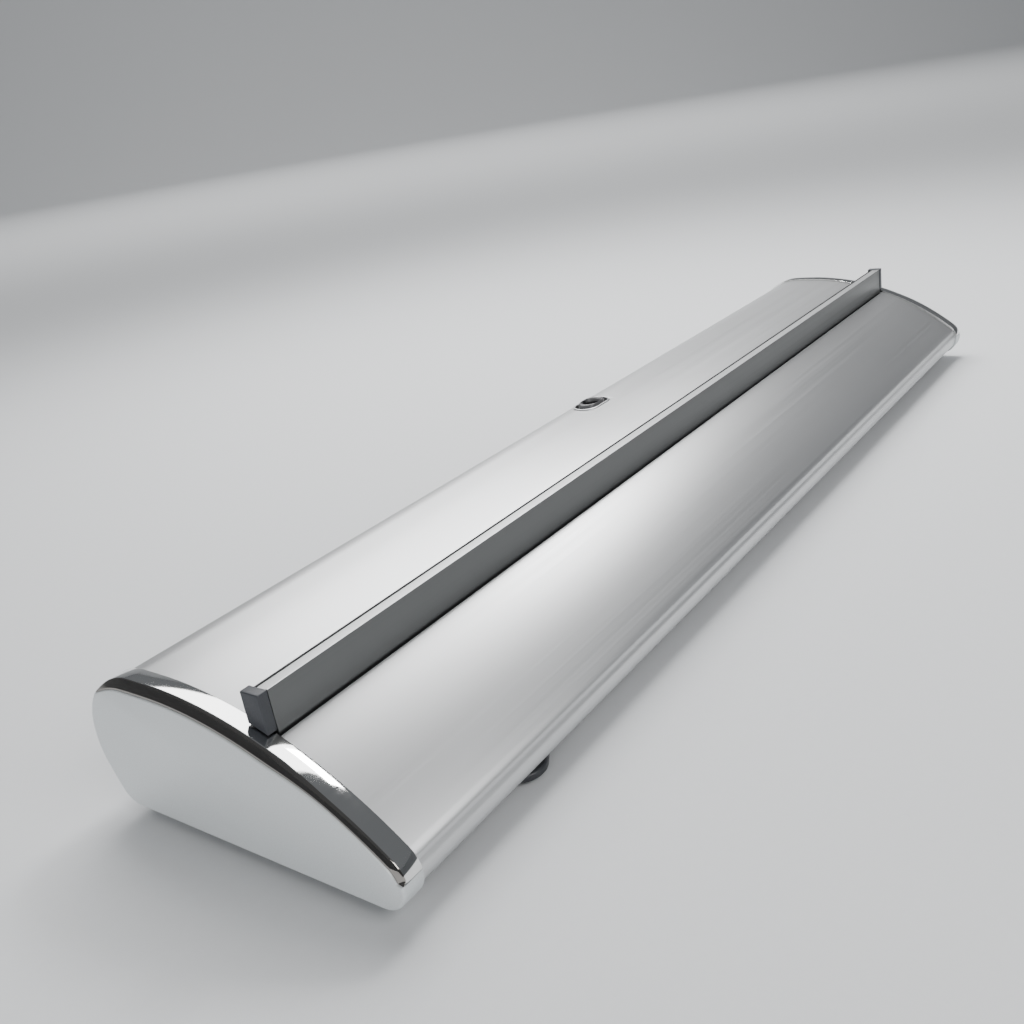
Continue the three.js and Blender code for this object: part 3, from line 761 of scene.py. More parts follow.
@dataclass(frozen=True)
class Arc:
    """One arc: its centre, its radius, the angles it runs between and its step, in degrees."""

    y: float
    z: float
    radius: float
    start: float
    end: float
    step: float


Inset = float | Callable[[Stretch, float], float]
Place = tuple[Stretch, float]


@dataclass
class CasingSection:
    """The wing-shaped outline of the casing in Y and Z: four arcs that meet smoothly."""

    depth: float = 207.5 * MM
    height: float = 77.4 * MM
    clearance: float = 8.0 * MM
    nose_radius: float = 13.8 * MM
    shoulder_radius: float = 42.0 * MM
    heel_radius: float = 12.0 * MM
    heel_setback: float = 19.5 * MM
    crest_flat: float = 12.0 * MM
    arcs: dict[Stretch, Arc] = field(default_factory=dict)

    def __post_init__(self) -> None:
        """Works out where the arcs meet."""
        top = self.clearance + self.height
        nose = (-self.depth / 2 + self.nose_radius, self.clearance + self.nose_radius)
        shoulder = (self.depth / 2 - self.shoulder_radius, top - self.shoulder_radius)
        heel = (self.depth / 2 - self.heel_setback, self.clearance + self.heel_radius)
        crest = shoulder[0] - self.crest_flat
        across, rise = crest - nose[0], top - nose[1]
        sweep_radius = (across**2 + rise**2 - self.nose_radius**2) / (2 * (rise - self.nose_radius))
        sweep = (crest, top - sweep_radius)
        nose_join = math.degrees(math.atan2(nose[1] - sweep[1], nose[0] - sweep[0]))
        step = (shoulder[0] - heel[0], shoulder[1] - heel[1])
        lean = math.acos((self.heel_radius - self.shoulder_radius) / math.hypot(*step))
        wall = math.degrees(math.atan2(step[1], step[0]) - lean)
        self.arcs = {
            Stretch.NOSE: Arc(*nose, self.nose_radius, 270.0, nose_join, 3.0),
            Stretch.SWEEP: Arc(*sweep, sweep_radius, nose_join, 90.0, 0.6),
            Stretch.SHOULDER: Arc(*shoulder, self.shoulder_radius, 90.0, wall, 2.0),
            Stretch.HEEL: Arc(*heel, self.heel_radius, wall, -90.0, 5.0),
        }

    def point(self, stretch: Stretch, inset: float, angle: float) -> tuple[float, float]:
        """The point on an arc, moved in by inset.

        Args:
            stretch: Which arc.
            inset: How far in from the outside.
            angle: The direction from the arc's centre, in degrees.

        Returns:
            Its Y and Z.
        """
        arc = self.arcs[stretch]
        reach = arc.radius - inset
        return arc.y + reach * math.cos(math.radians(angle)), arc.z + reach * math.sin(math.radians(angle))

    def sweep_angle(self, y: float, inset: float = 0.0) -> float:
        """The angle on the front sweep at a given Y."""
        arc = self.arcs[Stretch.SWEEP]
        return math.degrees(math.acos((y - arc.y) / (arc.radius - inset)))

    def height_at(self, y: float) -> float:
        """The front sweep's height at a given Y."""
        return self.point(Stretch.SWEEP, 0.0, self.sweep_angle(y))[1]

    def places(self, start: Place, end: Place) -> list[Place]:
        """The evenly spaced places along the outline, clockwise.

        Args:
            start: The first arc and angle.
            end: The last arc and angle.

        Returns:
            The places, with both ends.
        """
        found: list[Place] = []
        count = (end[0] - start[0]) % len(self.arcs)
        for i in range(count + 1):
            stretch = Stretch((start[0] + i) % len(self.arcs))
            arc = self.arcs[stretch]
            first = start[1] if i == 0 else arc.start
            last = end[1] if i == count else arc.end
            steps = max(1, round(abs(last - first) / arc.step))
            for k in range(steps + 1):
                angle = first + (last - first) * k / steps
                if k == 0 and found and stretch is Stretch.SWEEP:
                    continue
                found.append((stretch, angle))
        return found

    def along(self, inset: Inset, start: Place, end: Place) -> Section:
        """The outline's points, moved in by inset, clockwise.

        Args:
            inset: How far in, the same everywhere or by place.
            start: The first arc and angle.
            end: The last arc and angle.

        Returns:
            The points.
        """
        outline: Section = []
        for stretch, angle in self.places(start, end):
            deep = inset(stretch, angle) if callable(inset) else inset
            outline.append(self.point(stretch, deep, angle))
        return outline


# ---- Casing ----


@dataclass
class Casing:
    """The extruded casing: front panel, rear shell and base, with the soft strips of the slot."""

    section: CasingSection
    finishes: Finishes
    wall: float = 2.2 * MM
    base_thickness: float = 2.5 * MM
    lip_thickness: float = 2.0 * MM
    tongue: float = 1.9 * MM
    nose_seam: float = 236.0
    seam_gap: float = 3.0
    tongue_reach: float = 15.0
    nose_root: float = 258.0
    flute_middle: float = 160.0
    flute_half_width: float = 3.2 * MM
    flute_depth: float = 0.45 * MM
    heel_seam: float = -50.0
    heel_root: float = -74.0
    port_depth: float = 10.0 * MM
    port_radius: float = 4.2 * MM
    port_bore: float = 2.2 * MM
    port_sides: int = 24
    rib_half: float = 1.0 * MM
    overlap: float = 0.1 * MM
    rear_lip: float = 65.0 * MM
    ledge_width: float = 1.8 * MM
    opening_rings: tuple[float, ...] = (0.8 * MM, 2.5 * MM, 8.0 * MM)
    cutter_reach: float = 20.0 * MM
    tongue_gap: float = 0.4 * MM
    heel_margin: float = 1.0
    root_margin: float = 4.0
    front_ports: tuple[Place, ...] = ((Stretch.SWEEP, 122.0),)
    rear_ports: tuple[Place, ...] = ((Stretch.SWEEP, 97.0), (Stretch.SHOULDER, 0.0))
    base_port_ys: tuple[float, ...] = (-50.0 * MM, 36.0 * MM)
    edge: float = 0.35 * MM
    bristle_count: int = 1100
    bristle_radius: float = 0.09 * MM
    bristle_tip: float = 0.02 * MM
    bristle_root: float = 0.3 * MM
    bristle_spare: float = 0.6 * MM
    bristle_lean: tuple[Point, Point] = ((1.38, -0.10, 0.0), (1.76, 0.10, 0.0))
    bristle_seed: int = 4
    holder_depth: float = 1.6 * MM

    def __post_init__(self) -> None:
        """Reads the places that the frame holds."""
        low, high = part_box("casing_front")
        self.left, self.right = low[0], high[0]
        self.slot_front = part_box("slot_seal_front")[0][1] - GAP
        self.slot_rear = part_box("casing_rear")[0][1]
        jaw_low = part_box("rail_front_jaw")[0]
        self.rail_front, self.rest = jaw_low[1], jaw_low[2] - GAP

    def port_centres(self) -> Section:
        """The middles of all the screw ports, in Y and Z."""
        centres = [self.section.point(s, self.port_depth, a) for s, a in (*self.front_ports, *self.rear_ports)]
        return centres + [(y, self.section.clearance + self.port_depth) for y in self.base_port_ys]

    def _flute(self, stretch: Stretch, angle: float) -> float:
        """The shallow groove along the nose, above the front bead.

        Args:
            stretch: Which arc.
            angle: The place on it.

        Returns:
            How deep the groove is there.
        """
        if stretch is not Stretch.NOSE:
            return 0.0
        away = math.radians(angle - self.flute_middle) * self.section.nose_radius
        share = min(abs(away) / self.flute_half_width, 1.0)
        return 0.5 * self.flute_depth * (1 + math.cos(math.pi * share))

    def _port(self, centre: tuple[float, float], foot: tuple[float, float]) -> Shape:
        """A bored screw port on its rib.

        Args:
            centre: The bore's middle.
            foot: The rib's foot on the wall's inside.

        Returns:
            The points and the faces.
        """
        outside: Section = []
        inside: Section = []
        lead = math.atan2(foot[1] - centre[1], foot[0] - centre[0])
        half = math.asin(self.rib_half / self.port_radius)
        across = (-math.sin(lead) * self.rib_half, math.cos(lead) * self.rib_half)
        for i in range(self.port_sides + 1):
            angle = lead + half + (math.tau - 2 * half) * i / self.port_sides
            outside.append(
                (centre[0] + self.port_radius * math.cos(angle), centre[1] + self.port_radius * math.sin(angle))
            )
            inside.append(
                (centre[0] + self.port_bore * math.cos(angle), centre[1] + self.port_bore * math.sin(angle))
            )
        outside.append((foot[0] - across[0], foot[1] - across[1]))
        outside.append((foot[0] + across[0], foot[1] + across[1]))
        inside.append(inside[-1])
        inside.append(inside[0])
        rings = [
            [(self.left, y, z) for y, z in inside],
            [(self.left, y, z) for y, z in outside],
            [(self.right, y, z) for y, z in outside],
            [(self.right, y, z) for y, z in inside],
        ]
        return loft(rings, joined=True)

    def _joined(
        self, name: str, panel: bpy.types.Object, ports: Sequence[Rib]
    ) -> bpy.types.Object:
        """Adds screw ports to a panel.

        Args:
            name: The panel's name.
            panel: The panel's object.
            ports: The bores' middles and the ribs' feet.

        Returns:
            The panel.
        """
        bored = (
            new_piece(f"{name}_port_{number}", *self._port(centre, foot), self.finishes.casing)
            for number, (centre, foot) in enumerate(ports)
        )
        return merged(panel, bored)

    def _ports(self, places: Iterable[Place]) -> list[Rib]:
        """The bores and rib feet for places on the outline."""
        inside = self.wall - self.overlap
        return [
            (self.section.point(s, self.port_depth, a), self.section.point(s, inside, a)) for s, a in places
        ]

    def front_panel(self) -> bpy.types.Object:
        """The panel from the nose up to the slot, with the ledge that the rail rests on.

        Returns:
            The piece.
        """
        s = self.section
        lip = self.slot_front - self.lip_thickness
        ledge = self.rail_front + self.ledge_width
        start = (Stretch.NOSE, self.nose_seam)
        outer = s.along(self._flute, start, (Stretch.SWEEP, s.sweep_angle(self.slot_front)))
        inner = s.along(self.wall, start, (Stretch.SWEEP, s.sweep_angle(lip, self.wall)))
        under = self.rest - self.lip_thickness
        corner = [(self.slot_front, self.rest), (ledge, self.rest), (ledge, under), (lip, under)]
        section = [*outer, *corner, *reversed(inner)]
        panel = new_piece("front_panel", *bar_along_x(section, (self.left, self.right)), self.finishes.casing)
        softened(panel, self.edge, 2, 50.0)
        self._joined("front_panel", panel, self._ports(self.front_ports))
        return finished(panel, Body.CASING, ["casing_front"])

    def rear_shell(self) -> bpy.types.Object:
        """The shell from the slot over the crest and down the rear wall, with the pole opening.

        Returns:
            The piece.
        """
        s = self.section
        lip = self.slot_rear + self.lip_thickness
        end = (Stretch.HEEL, self.heel_seam)
        outer = s.along(0.0, (Stretch.SWEEP, s.sweep_angle(self.slot_rear)), end)
        inner = s.along(self.wall, (Stretch.SWEEP, s.sweep_angle(lip, self.wall)), end)
        section = [*outer, *reversed(inner), (lip, self.rear_lip), (self.slot_rear, self.rear_lip)]
        low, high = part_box("socket_bezel")
        near = [high[0] + GAP + reach for reach in self.opening_rings]
        far = [low[0] - GAP - reach for reach in reversed(self.opening_rings)]
        stations = (self.left, *far, *near, self.right)
        shell = new_piece("rear_shell", *bar_along_x(section, stations), self.finishes.casing)
        size = (high[0] - low[0] + 2 * GAP, high[1] - low[1] + 2 * GAP)
        middle = (0.5 * (low[0] + high[0]), 0.5 * (low[1] + high[1]))
        outline = round_ended(*size)
        rings = [level(outline, z, middle) for z in (low[2] - self.cutter_reach, high[2] + self.cutter_reach)]
        cutter = new_piece("opening_cutter", *loft(rings), self.finishes.casing)
        opening = shell.modifiers.new("pole_opening", "BOOLEAN")
        opening.object = cutter
        opening.solver = "EXACT"
        baked(shell)
        bpy.data.objects.remove(cutter)
        softened(shell, self.edge, 2, 50.0)
        self._joined("rear_shell", shell, self._ports(self.rear_ports))
        return finished(shell, Body.CASING, ["casing_rear"])

    def base(self) -> bpy.types.Object:
        """The flat underside with the tongues behind both seams.

        Returns:
            The piece.
        """
        s = self.section
        behind = self.wall + self.tongue_gap
        deep = behind + self.tongue
        nose, heel = Stretch.NOSE, Stretch.HEEL
        nose_edge, nose_tip = self.nose_seam + self.seam_gap, self.nose_seam - self.tongue_reach
        heel_edge = self.heel_seam - self.seam_gap - self.heel_margin
        heel_tip = self.heel_seam + self.tongue_reach
        heel_foot = (heel, self.heel_root - self.root_margin)
        nose_foot = (nose, self.nose_root + self.root_margin)
        section = [
            *s.along(0.0, (heel, heel_edge), (nose, nose_edge)),
            *s.along(behind, (nose, nose_edge), (nose, nose_tip)),
            *reversed(s.along(deep, (nose, self.nose_root), (nose, nose_tip))),
            *reversed(s.along(self.base_thickness, heel_foot, nose_foot)),
            *reversed(s.along(deep, (heel, heel_tip), (heel, self.heel_root))),
            *s.along(behind, (heel, heel_tip), (heel, heel_edge)),
        ]
        plate = new_piece("base_tray", *bar_along_x(section, (self.left, self.right)), self.finishes.casing)
        softened(plate, self.edge, 2, 50.0)
        inside = s.clearance + self.base_thickness - self.overlap
        ports = [((y, s.clearance + self.port_depth), (y, inside)) for y in self.base_port_ys]
        self._joined("base_tray", plate, ports)
        return finished(plate, Body.CASING, ["base_plate"])

    def brush(self) -> bpy.types.Object:
        """The brush behind the slot: a holder with a row of bristles that wipe the film.

        Returns:
            The piece.
        """
        low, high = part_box("slot_brush_rear")
        holder_front = high[1] - self.holder_depth
        tree = NodeTree("brush_bristles")
        count = tree.given("Bristles", self.bristle_count, "NodeSocketInt")
        radius = tree.given("Bristle Radius", self.bristle_radius)
        reach = tree.given("Bristle Length", holder_front - low[1] + self.bristle_spare)
        start = (low[0] + MM, holder_front + self.bristle_root, 0.5 * (low[2] + high[2]))
        first = tree.given("First", start, "NodeSocketVector")
        pitch = (high[0] - low[0] - 2 * MM) / self.bristle_count
        step = tree.given("Step", (pitch, 0, 0), "NodeSocketVector")
        row = tree.node("GeometryNodeMeshLine", {"Count": count, "Start Location": first, "Offset": step})
        bristle = tree.node(
            "GeometryNodeMeshCone",
            {"Vertices": 4, "Radius Top": self.bristle_tip, "Radius Bottom": radius, "Depth": reach},
        )
        lean = tree.node(
            "FunctionNodeRandomValue",
            {"Min": self.bristle_lean[0], "Max": self.bristle_lean[1], "Seed": self.bristle_seed},
            data_type="FLOAT_VECTOR",
        )
        copies = tree.node(
            "GeometryNodeInstanceOnPoints",
            {"Points": row.outputs[0], "Instance": bristle.outputs["Mesh"], "Rotation": lean.outputs[0]},
        )
        piece = tree.run("slot_brush", [], copies.outputs["Instances"], self.finishes.black)
        holder = [(holder_front, low[2]), (high[1], low[2]), (high[1], high[2]), (holder_front, high[2])]
        back = new_piece("brush_holder", *bar_along_x(holder, (low[0], high[0])), self.finishes.black)
        softened(back, 0.3 * MM, 2)
        merged(piece, [back])
        return finished(piece, Body.CASING, ["slot_brush_rear"])

    def seal(self) -> bpy.types.Object:
        """The soft strip in front of the rail, with a rounded lip.

        Returns:
            The piece.
        """
        low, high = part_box("slot_seal_front")
        shape = bar_along_x(round_topped(low, high), (low[0], high[0]))
        strip = new_piece("slot_seal", *shape, self.finishes.rubber)
        return finished(strip, Body.CASING, ["slot_seal_front"])

    def build(self) -> None:
        """Builds every piece of the casing."""
        self.front_panel()
        self.rear_shell()
        self.base()
        self.seal()
        self.brush()


# ---- Ends ----


class Side(Enum):
    """Which end of the casing: its name and its direction on X."""

    LEFT = ("left", -1.0)
    RIGHT = ("right", 1.0)

    @property
    def label(self) -> str:
        """The side's name."""
        return self.value[0]

    @property
    def sign(self) -> float:
        """The side's direction on X."""
        return self.value[1]


@dataclass
class EndCaps:
    """The silver end caps with their chrome trims, and the end frames' screws."""

    section: CasingSection
    finishes: Finishes
    port_centres: Section
    band_depth: float = 2.0 * MM
    band_width: float = 7.0 * MM
    rear_depth: float = 6.4 * MM
    front_depth: float = 3.3 * MM
    nose_angle: float = 172.0
    proud: float = 1.5 * MM
    shoulder_angle: float = 46.0
    full_depth_angle: float = 85.0
    taper_from: float = -28.0 * MM
    taper_to: float = -70.0 * MM
    bevel_run: float = 2.7 * MM
    face_edge: float = 1.6 * MM
    pocket_inset: float = 5.0 * MM
    pocket_depth: float = 6.2 * MM
    rebate: float = 0.2 * MM
    rebate_share: float = 0.35
    start_margin: float = 1.2
    end_margin: float = 0.4
    rise_power: float = 0.62
    tip_round: float = 1.8 * MM
    least_depth: float = 0.3 * MM
    full_fillet_depth: float = 3.0 * MM
    face_foot: float = 0.86
    edge_break: float = 0.12 * MM
    edge_run: float = 0.25 * MM
    tab_run: float = 0.6 * MM

    def __post_init__(self) -> None:
        """Reads the ends' places from the frame."""
        low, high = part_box("end_cap_right")
        _, trim_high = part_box("chrome_trim_right")
        self.inside, self.face = low[0], high[0]
        self.trim_face = trim_high[0]
        self.start: Place = (Stretch.NOSE, self.nose_angle)
        self.end: Place = (Stretch.SHOULDER, self.shoulder_angle)

    def face_depth(self, stretch: Stretch, angle: float) -> float:
        """How far the trim's outer face comes down at a place on the outline.

        Args:
            stretch: Which arc.
            angle: The place on it.

        Returns:
            The depth, which tapers out at the shoulder and narrows and rounds off at the nose.
        """
        y = self.section.point(stretch, 0.0, angle)[0]
        share = min(max((self.taper_from - y) / (self.taper_from - self.taper_to), 0.0), 1.0)
        ease = share * share * (3 - 2 * share)
        depth = self.rear_depth + (self.front_depth - self.rear_depth) * ease
        if stretch is Stretch.SHOULDER:
            rise = (angle - self.shoulder_angle) / (self.full_depth_angle - self.shoulder_angle)
            depth *= min(max(rise, 0.0), 1.0) ** self.rise_power
        if stretch is Stretch.NOSE:
            reach = max((self.nose_angle - angle) * math.pi / 180 * self.section.nose_radius, 0.0)
            if reach < self.tip_round:
                depth *= math.sqrt(max(1 - (1 - reach / self.tip_round) ** 2, 0.0))
        return depth

    def _x(self, side: Side, distance: float) -> float:
        """The X of a place measured out from the cap's inside face."""
        return side.sign * (self.inside + distance)

    def trim(self, side: Side) -> bpy.types.Object:
        """The chrome band with its rounded, turned-down outer face, whose outer bevel carries a painted dark
        reflection.

        Args:
            side: Which end.

        Returns:
            The piece.
        """
        width = self.trim_face - self.inside
        places = self.section.places(self.start, self.end)
        rings: list[Ring] = []
        for stretch, angle in places:
            depth = max(self.face_depth(stretch, angle), self.least_depth)
            band = min(self.band_depth, depth)
            run = min(self.bevel_run, 0.5 * depth)
            fillet = min(1.0, depth / self.full_fillet_depth) * MM
            foot = self.face_foot * depth
            outline: Section = [
                (0.0, band),
                (0.0, self.edge_break),
                (self.edge_run, 0.0),
                (width - run - 0.7 * fillet, 0.0),
                (width - run - 0.15 * fillet, 0.12 * fillet),
                (width - run + 0.2 * fillet, 0.45 * fillet),
                (width - 0.25 * fillet, foot - 0.4 * fillet),
                (width - 0.05 * fillet, foot),
                (width, 0.5 * (foot + depth)),
                (width, depth),
                (self.band_width + self.tab_run, depth),
                (self.band_width + self.tab_run, band),
            ]
            ring: Ring = []
            for out, deep in outline:
                y, z = self.section.point(stretch, deep - self.proud, angle)
                ring.append((self._x(side, out), y, z))
            rings.append(ring)
        piece = new_piece(f"trim_{side.label}", *loft(rings), self.finishes.chrome, 40.0)
        # The outer bevel's faces take the darker chrome copy, which paints a dark reflection on them.
        piece.data.materials.append(self.finishes.smoked)
        bevel = self.trim_face - self.bevel_run
        for face in piece.data.polygons:
            if abs(face.center.x) > bevel:
                face.material_index = 1
        return finished(piece, Body.CASING, [f"chrome_trim_{side.label}"])

    def cap(self, side: Side) -> bpy.types.Object:
        """The silver cap: rounded at its face, rebated for the trim and hollow inside.

        Args:
            side: Which end.

        Returns:
            The piece.
        """
        under_start = (Stretch.NOSE, self.nose_angle + self.start_margin)
        under_end = (Stretch.SHOULDER, self.shoulder_angle - self.end_margin)

        def ring(distance: float, under_inset: Inset, around_inset: float) -> Ring:
            """One ring of the cap at a distance out from its inside face."""
            outline = self.section.along(under_inset, under_start, under_end)
            outline += self.section.along(around_inset, under_end, under_start)
            return [(self._x(side, distance), y, z) for y, z in outline]

        def rebate(extra: float) -> Callable[[Stretch, float], float]:
            """The inset under the trim's face, a little deeper by extra."""
            return lambda stretch, angle: self.face_depth(stretch, angle) + extra - self.proud

        def band(stretch: Stretch, angle: float) -> float:
            """The inset under the trim's band."""
            return min(self.band_depth, self.face_depth(stretch, angle)) + GAP - self.proud

        thickness = self.face - self.inside
        step = self.band_width + GAP
        pocket = self.pocket_inset
        rings = [ring(self.pocket_depth, pocket, pocket), ring(0.0, pocket, pocket)]
        skin = -self.proud
        rings += [ring(0.0, band, skin + 0.3 * MM), ring(0.3 * MM, band, skin)]
        rings += [ring(step, band, skin), ring(step + 0.05 * MM, rebate(self.rebate), skin)]
        for run, rise in quarter_round():
            out, inset = thickness - self.face_edge * rise, self.face_edge * run
            rings.append(ring(out, rebate(self.rebate + self.rebate_share * inset), skin + inset))
        piece = new_piece(f"cap_{side.label}", *loft(rings), self.finishes.silver, 40.0)
        return finished(piece, Body.CASING, [f"end_cap_{side.label}"])

    def screws(self) -> list[bpy.types.Object]:
        """The pan-head screws of both end frames.

        Returns:
            The left end's screws and the right end's.
        """
        shank, head, recess = 1.8 * MM, 3.6 * MM, 1.1 * MM
        under_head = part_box("end_frame_right")[1][0] + GAP
        tip, crown = under_head - 14 * MM, under_head + 2.2 * MM
        pitch, threads = 1.0 * MM, 11
        profile: Section = [(0.0, tip), (shank * 0.4, tip), (shank, tip + 1.5 * MM)]
        for i in range(threads):
            along = tip + 1.6 * MM + i * pitch
            profile += [(shank, along), (shank * 0.78, along + 0.4 * pitch), (shank, along + 0.8 * pitch)]
        profile += [(shank, under_head), (head, under_head), (head, under_head + 1.0 * MM)]
        profile += [(head * 0.8, crown - 0.2 * MM), (recess, crown), (recess * 0.6, crown - 1.2 * MM)]
        profile.append((0.0, crown - 1.2 * MM))
        both: list[bpy.types.Object] = []
        for side in Side:
            points, faces = turned(profile, sides=20)
            placed = [(side.sign * z, x, y) for x, y, z in points]
            pattern = new_piece(f"screw_pattern_{side.label}", placed, faces, self.finishes.steel)
            places = [(0.0, y, z) for y, z in self.port_centres]
            name = f"end_screws_{side.label}"
            piece = repeated(name, pattern, places, self.finishes.steel)
            nodes = [f"end_screw_{side.label}_{i + 1}" for i in range(len(places))]
            both.append(finished(piece, Body.CASING, nodes))
        return both

    def build(self) -> None:
        """Builds both ends."""
        for side in Side:
            self.trim(side)
            self.cap(side)
        self.screws()


# ---- Clamp rail ----


@dataclass
class ClampRail:
    """The clamp rail: the front jaw with its raised front lip, the rear jaw, the caps and the hinge strip."""

    section: CasingSection
    finishes: Finishes
    wall: float = 1.8 * MM
    lip_width: float = 1.0 * MM
    lip_height: float = 0.45 * MM
    groove: float = 0.5 * MM
    cap_edge: float = 0.7 * MM
    cap_clearance: float = 2.3 * MM
    plug_length: float = 15.0 * MM
    plug_lift: float = 0.2 * MM
    plug_overlap: float = 0.5 * MM
    back_step: float = 6.0 * MM

    def __post_init__(self) -> None:
        """Reads the rail's box from the frame."""
        self.low, self.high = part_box("rail_front_jaw")

    def front_jaw(self) -> bpy.types.Object:
        """The hollow front jaw.

        Returns:
            The piece.
        """
        front, back = self.low[1], self.high[1]
        foot, top = self.low[2], self.high[2]
        deck = top - self.lip_height
        inside_top = top - self.wall
        section = [
            (front, foot),
            (front + self.wall, foot),
            (front + self.wall, inside_top),
            (back - self.wall, inside_top),
            (back - self.wall, foot + self.back_step),
            (back, foot + self.back_step),
            (back, deck),
            (front + self.lip_width + self.groove, deck),
            (front + self.lip_width, top),
            (front, top),
        ]
        stations = (self.low[0], self.high[0])
        jaw = new_piece("front_jaw", *bar_along_x(section, stations), self.finishes.rail)
        softened(jaw, 0.3 * MM, 3, 30.0)
        jaw.data.materials.append(self.finishes.casing)
        for face in jaw.data.polygons:
            if face.normal.z > 0.5 and face.center.z > inside_top:
                face.material_index = 1
        return finished(jaw, Body.RAIL, ["rail_front_jaw"])

    def rear_jaw(self) -> bpy.types.Object:
        """The rear jaw, with a snap bead along its foot.

        Returns:
            The piece.
        """
        low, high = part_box("rail_rear_jaw")
        front, back = low[1], high[1]
        section = [
            (front, low[2] + 0.6 * MM),
            (front + 0.6 * MM, low[2]),
            (back - 0.2 * MM, low[2]),
            (back + 0.5 * MM, low[2] + 0.9 * MM),
            (back + 0.5 * MM, low[2] + 2.2 * MM),
            (back, low[2] + 3.2 * MM),
            (back, high[2] - 1.2 * MM),
            (back - 1.0 * MM, high[2]),
            (front, high[2]),
        ]
        jaw = new_piece("rear_jaw", *bar_along_x(section, (low[0], high[0])), self.finishes.rail)
        softened(jaw, 0.25 * MM, 2, 30.0)
        return finished(jaw, Body.JAW, ["rail_rear_jaw"])

    def caps(self) -> None:
        """The slate plastic caps, which overhang the trims."""
        for side in Side:
            low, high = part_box(f"rail_cap_{side.label}")
            inner = side.sign * (self.high[0] + GAP)
            outer = high[0] if side is Side.RIGHT else low[0]
            front, back, top = low[1], high[1], high[2]
            foot_front, foot_back = (self.section.height_at(y) + self.cap_clearance for y in (front, back))
            section = [(front, foot_front), (back, foot_back), (back, top), (front, top)]
            body = new_piece(
                f"rail_end_{side.label}", *bar_along_x(section, sorted((inner, outer))), self.finishes.slate
            )
            softened(body, self.cap_edge, 4, 30.0)
            reach = inner - side.sign * self.plug_length
            plug_foot = foot_front + self.plug_lift
            near, far = self.low[1] + self.wall + GAP, self.high[1] - self.wall - GAP
            plug_top = self.high[2] - self.wall - GAP
            plug = [(near, plug_foot), (far, plug_foot), (far, plug_top), (near, plug_top)]
            tongue = new_piece(
                f"rail_plug_{side.label}",
                *bar_along_x(plug, sorted((reach, inner + side.sign * self.plug_overlap))),
                self.finishes.slate,
            )
            softened(tongue, 0.4 * MM, 2)
            merged(body, [tongue])
            finished(body, Body.RAIL, [f"rail_cap_{side.label}"])

    def hinge(self) -> bpy.types.Object:
        """The black strip that hinges the rear jaw, with its rounded top.

        Returns:
            The piece.
        """
        low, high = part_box("rail_hinge_strip")
        shape = bar_along_x(round_topped(low, high), (low[0], high[0]))
        strip = new_piece("hinge_strip", *shape, self.finishes.rubber)
        return finished(strip, Body.RAIL, ["rail_hinge_strip"])

    def build(self) -> None:
        """Builds the rail's pieces."""
        self.front_jaw()
        self.rear_jaw()
        self.caps()
        self.hinge()


# ---- Banner and roller ----


@dataclass
class Banner:
    """The banner film: wound on the roller as one spiral, with a web up to the rail."""

    finishes: Finishes
    turns: int = 16
    film: float = 0.235 * MM
    web_rows: int = 60
    web_columns: int = 24

    def __post_init__(self) -> None:
        """Reads the roll from the frame."""
        low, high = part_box("banner_roll")
        self.low, self.width = low, high[0] - low[0]
        self.middle = (0.5 * (low[1] + high[1]), 0.5 * (low[2] + high[2]))
        self.outer = 0.5 * (high[2] - low[2]) - 0.1 * MM
        self.inner = self.outer - self.turns * self.film

    def roll(self) -> bpy.types.Object:
        """The wound film.

        Returns:
            The piece.
        """
        tree = NodeTree("wound_film")
        spiral = tree.node(
            "GeometryNodeCurveSpiral",
            {
                "Resolution": tree.given("Steps per Turn", 72, "NodeSocketInt"),
                "Rotations": tree.given("Turns", float(self.turns)),
                "Start Radius": tree.given("Core Radius", self.inner),
                "End Radius": tree.given("Roll Radius", self.outer),
                "Height": 0.0,
            },
        )
        line = tree.node("GeometryNodeCurveToMesh", {"Curve": spiral.outputs["Curve"]})
        width = tree.given("Film Width", (0.0, 0.0, self.width), "NodeSocketVector")
        sheet = tree.node(
            "GeometryNodeExtrudeMesh", {"Mesh": line.outputs["Mesh"], "Offset": width}, mode="EDGES"
        )
        sheet.inputs["Offset Scale"].default_value = 1.0
        stood = tree.node(
            "GeometryNodeTransform",
            {
                "Geometry": sheet.outputs["Mesh"],
                "Rotation": (0.0, math.pi / 2, 0.0),
                "Translation": tree.given("Place", (self.low[0], *self.middle), "NodeSocketVector"),
            },
        )
        piece = tree.run("wound_banner", [], stood.outputs["Geometry"], self.finishes.film)
        return finished(piece, Body.ROLLER, ["banner_roll"])

    def web(self) -> bpy.types.Object:
        """The stretch of film from the roll up into the rail.

        Returns:
            The piece.
        """
        low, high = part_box("banner_web")
        y = 0.5 * (low[1] + high[1])
        bottom, top = self.middle[1], high[2]
        points: list[Point] = []
        faces: list[list[int]] = []
        columns, rows = self.web_columns, self.web_rows
        for row in range(rows + 1):
            z = bottom + (top - bottom) * row / rows
            for column in range(columns + 1):
                points.append((low[0] + (high[0] - low[0]) * column / columns, y, z))
        for row in range(rows):
            for column in range(columns):
                corner = row * (columns + 1) + column
                faces.append([corner, corner + 1, corner + columns + 2, corner + columns + 1])
        piece = new_piece("banner_web_film", points, faces, self.finishes.film)
        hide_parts("banner_web")
        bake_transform(piece)
        LOG.info("%s: %d faces between casing and rail", piece.name, len(piece.data.polygons))
        return piece

    def build(self) -> None:
        """Builds the roll and the web."""
        self.roll()
        self.web()


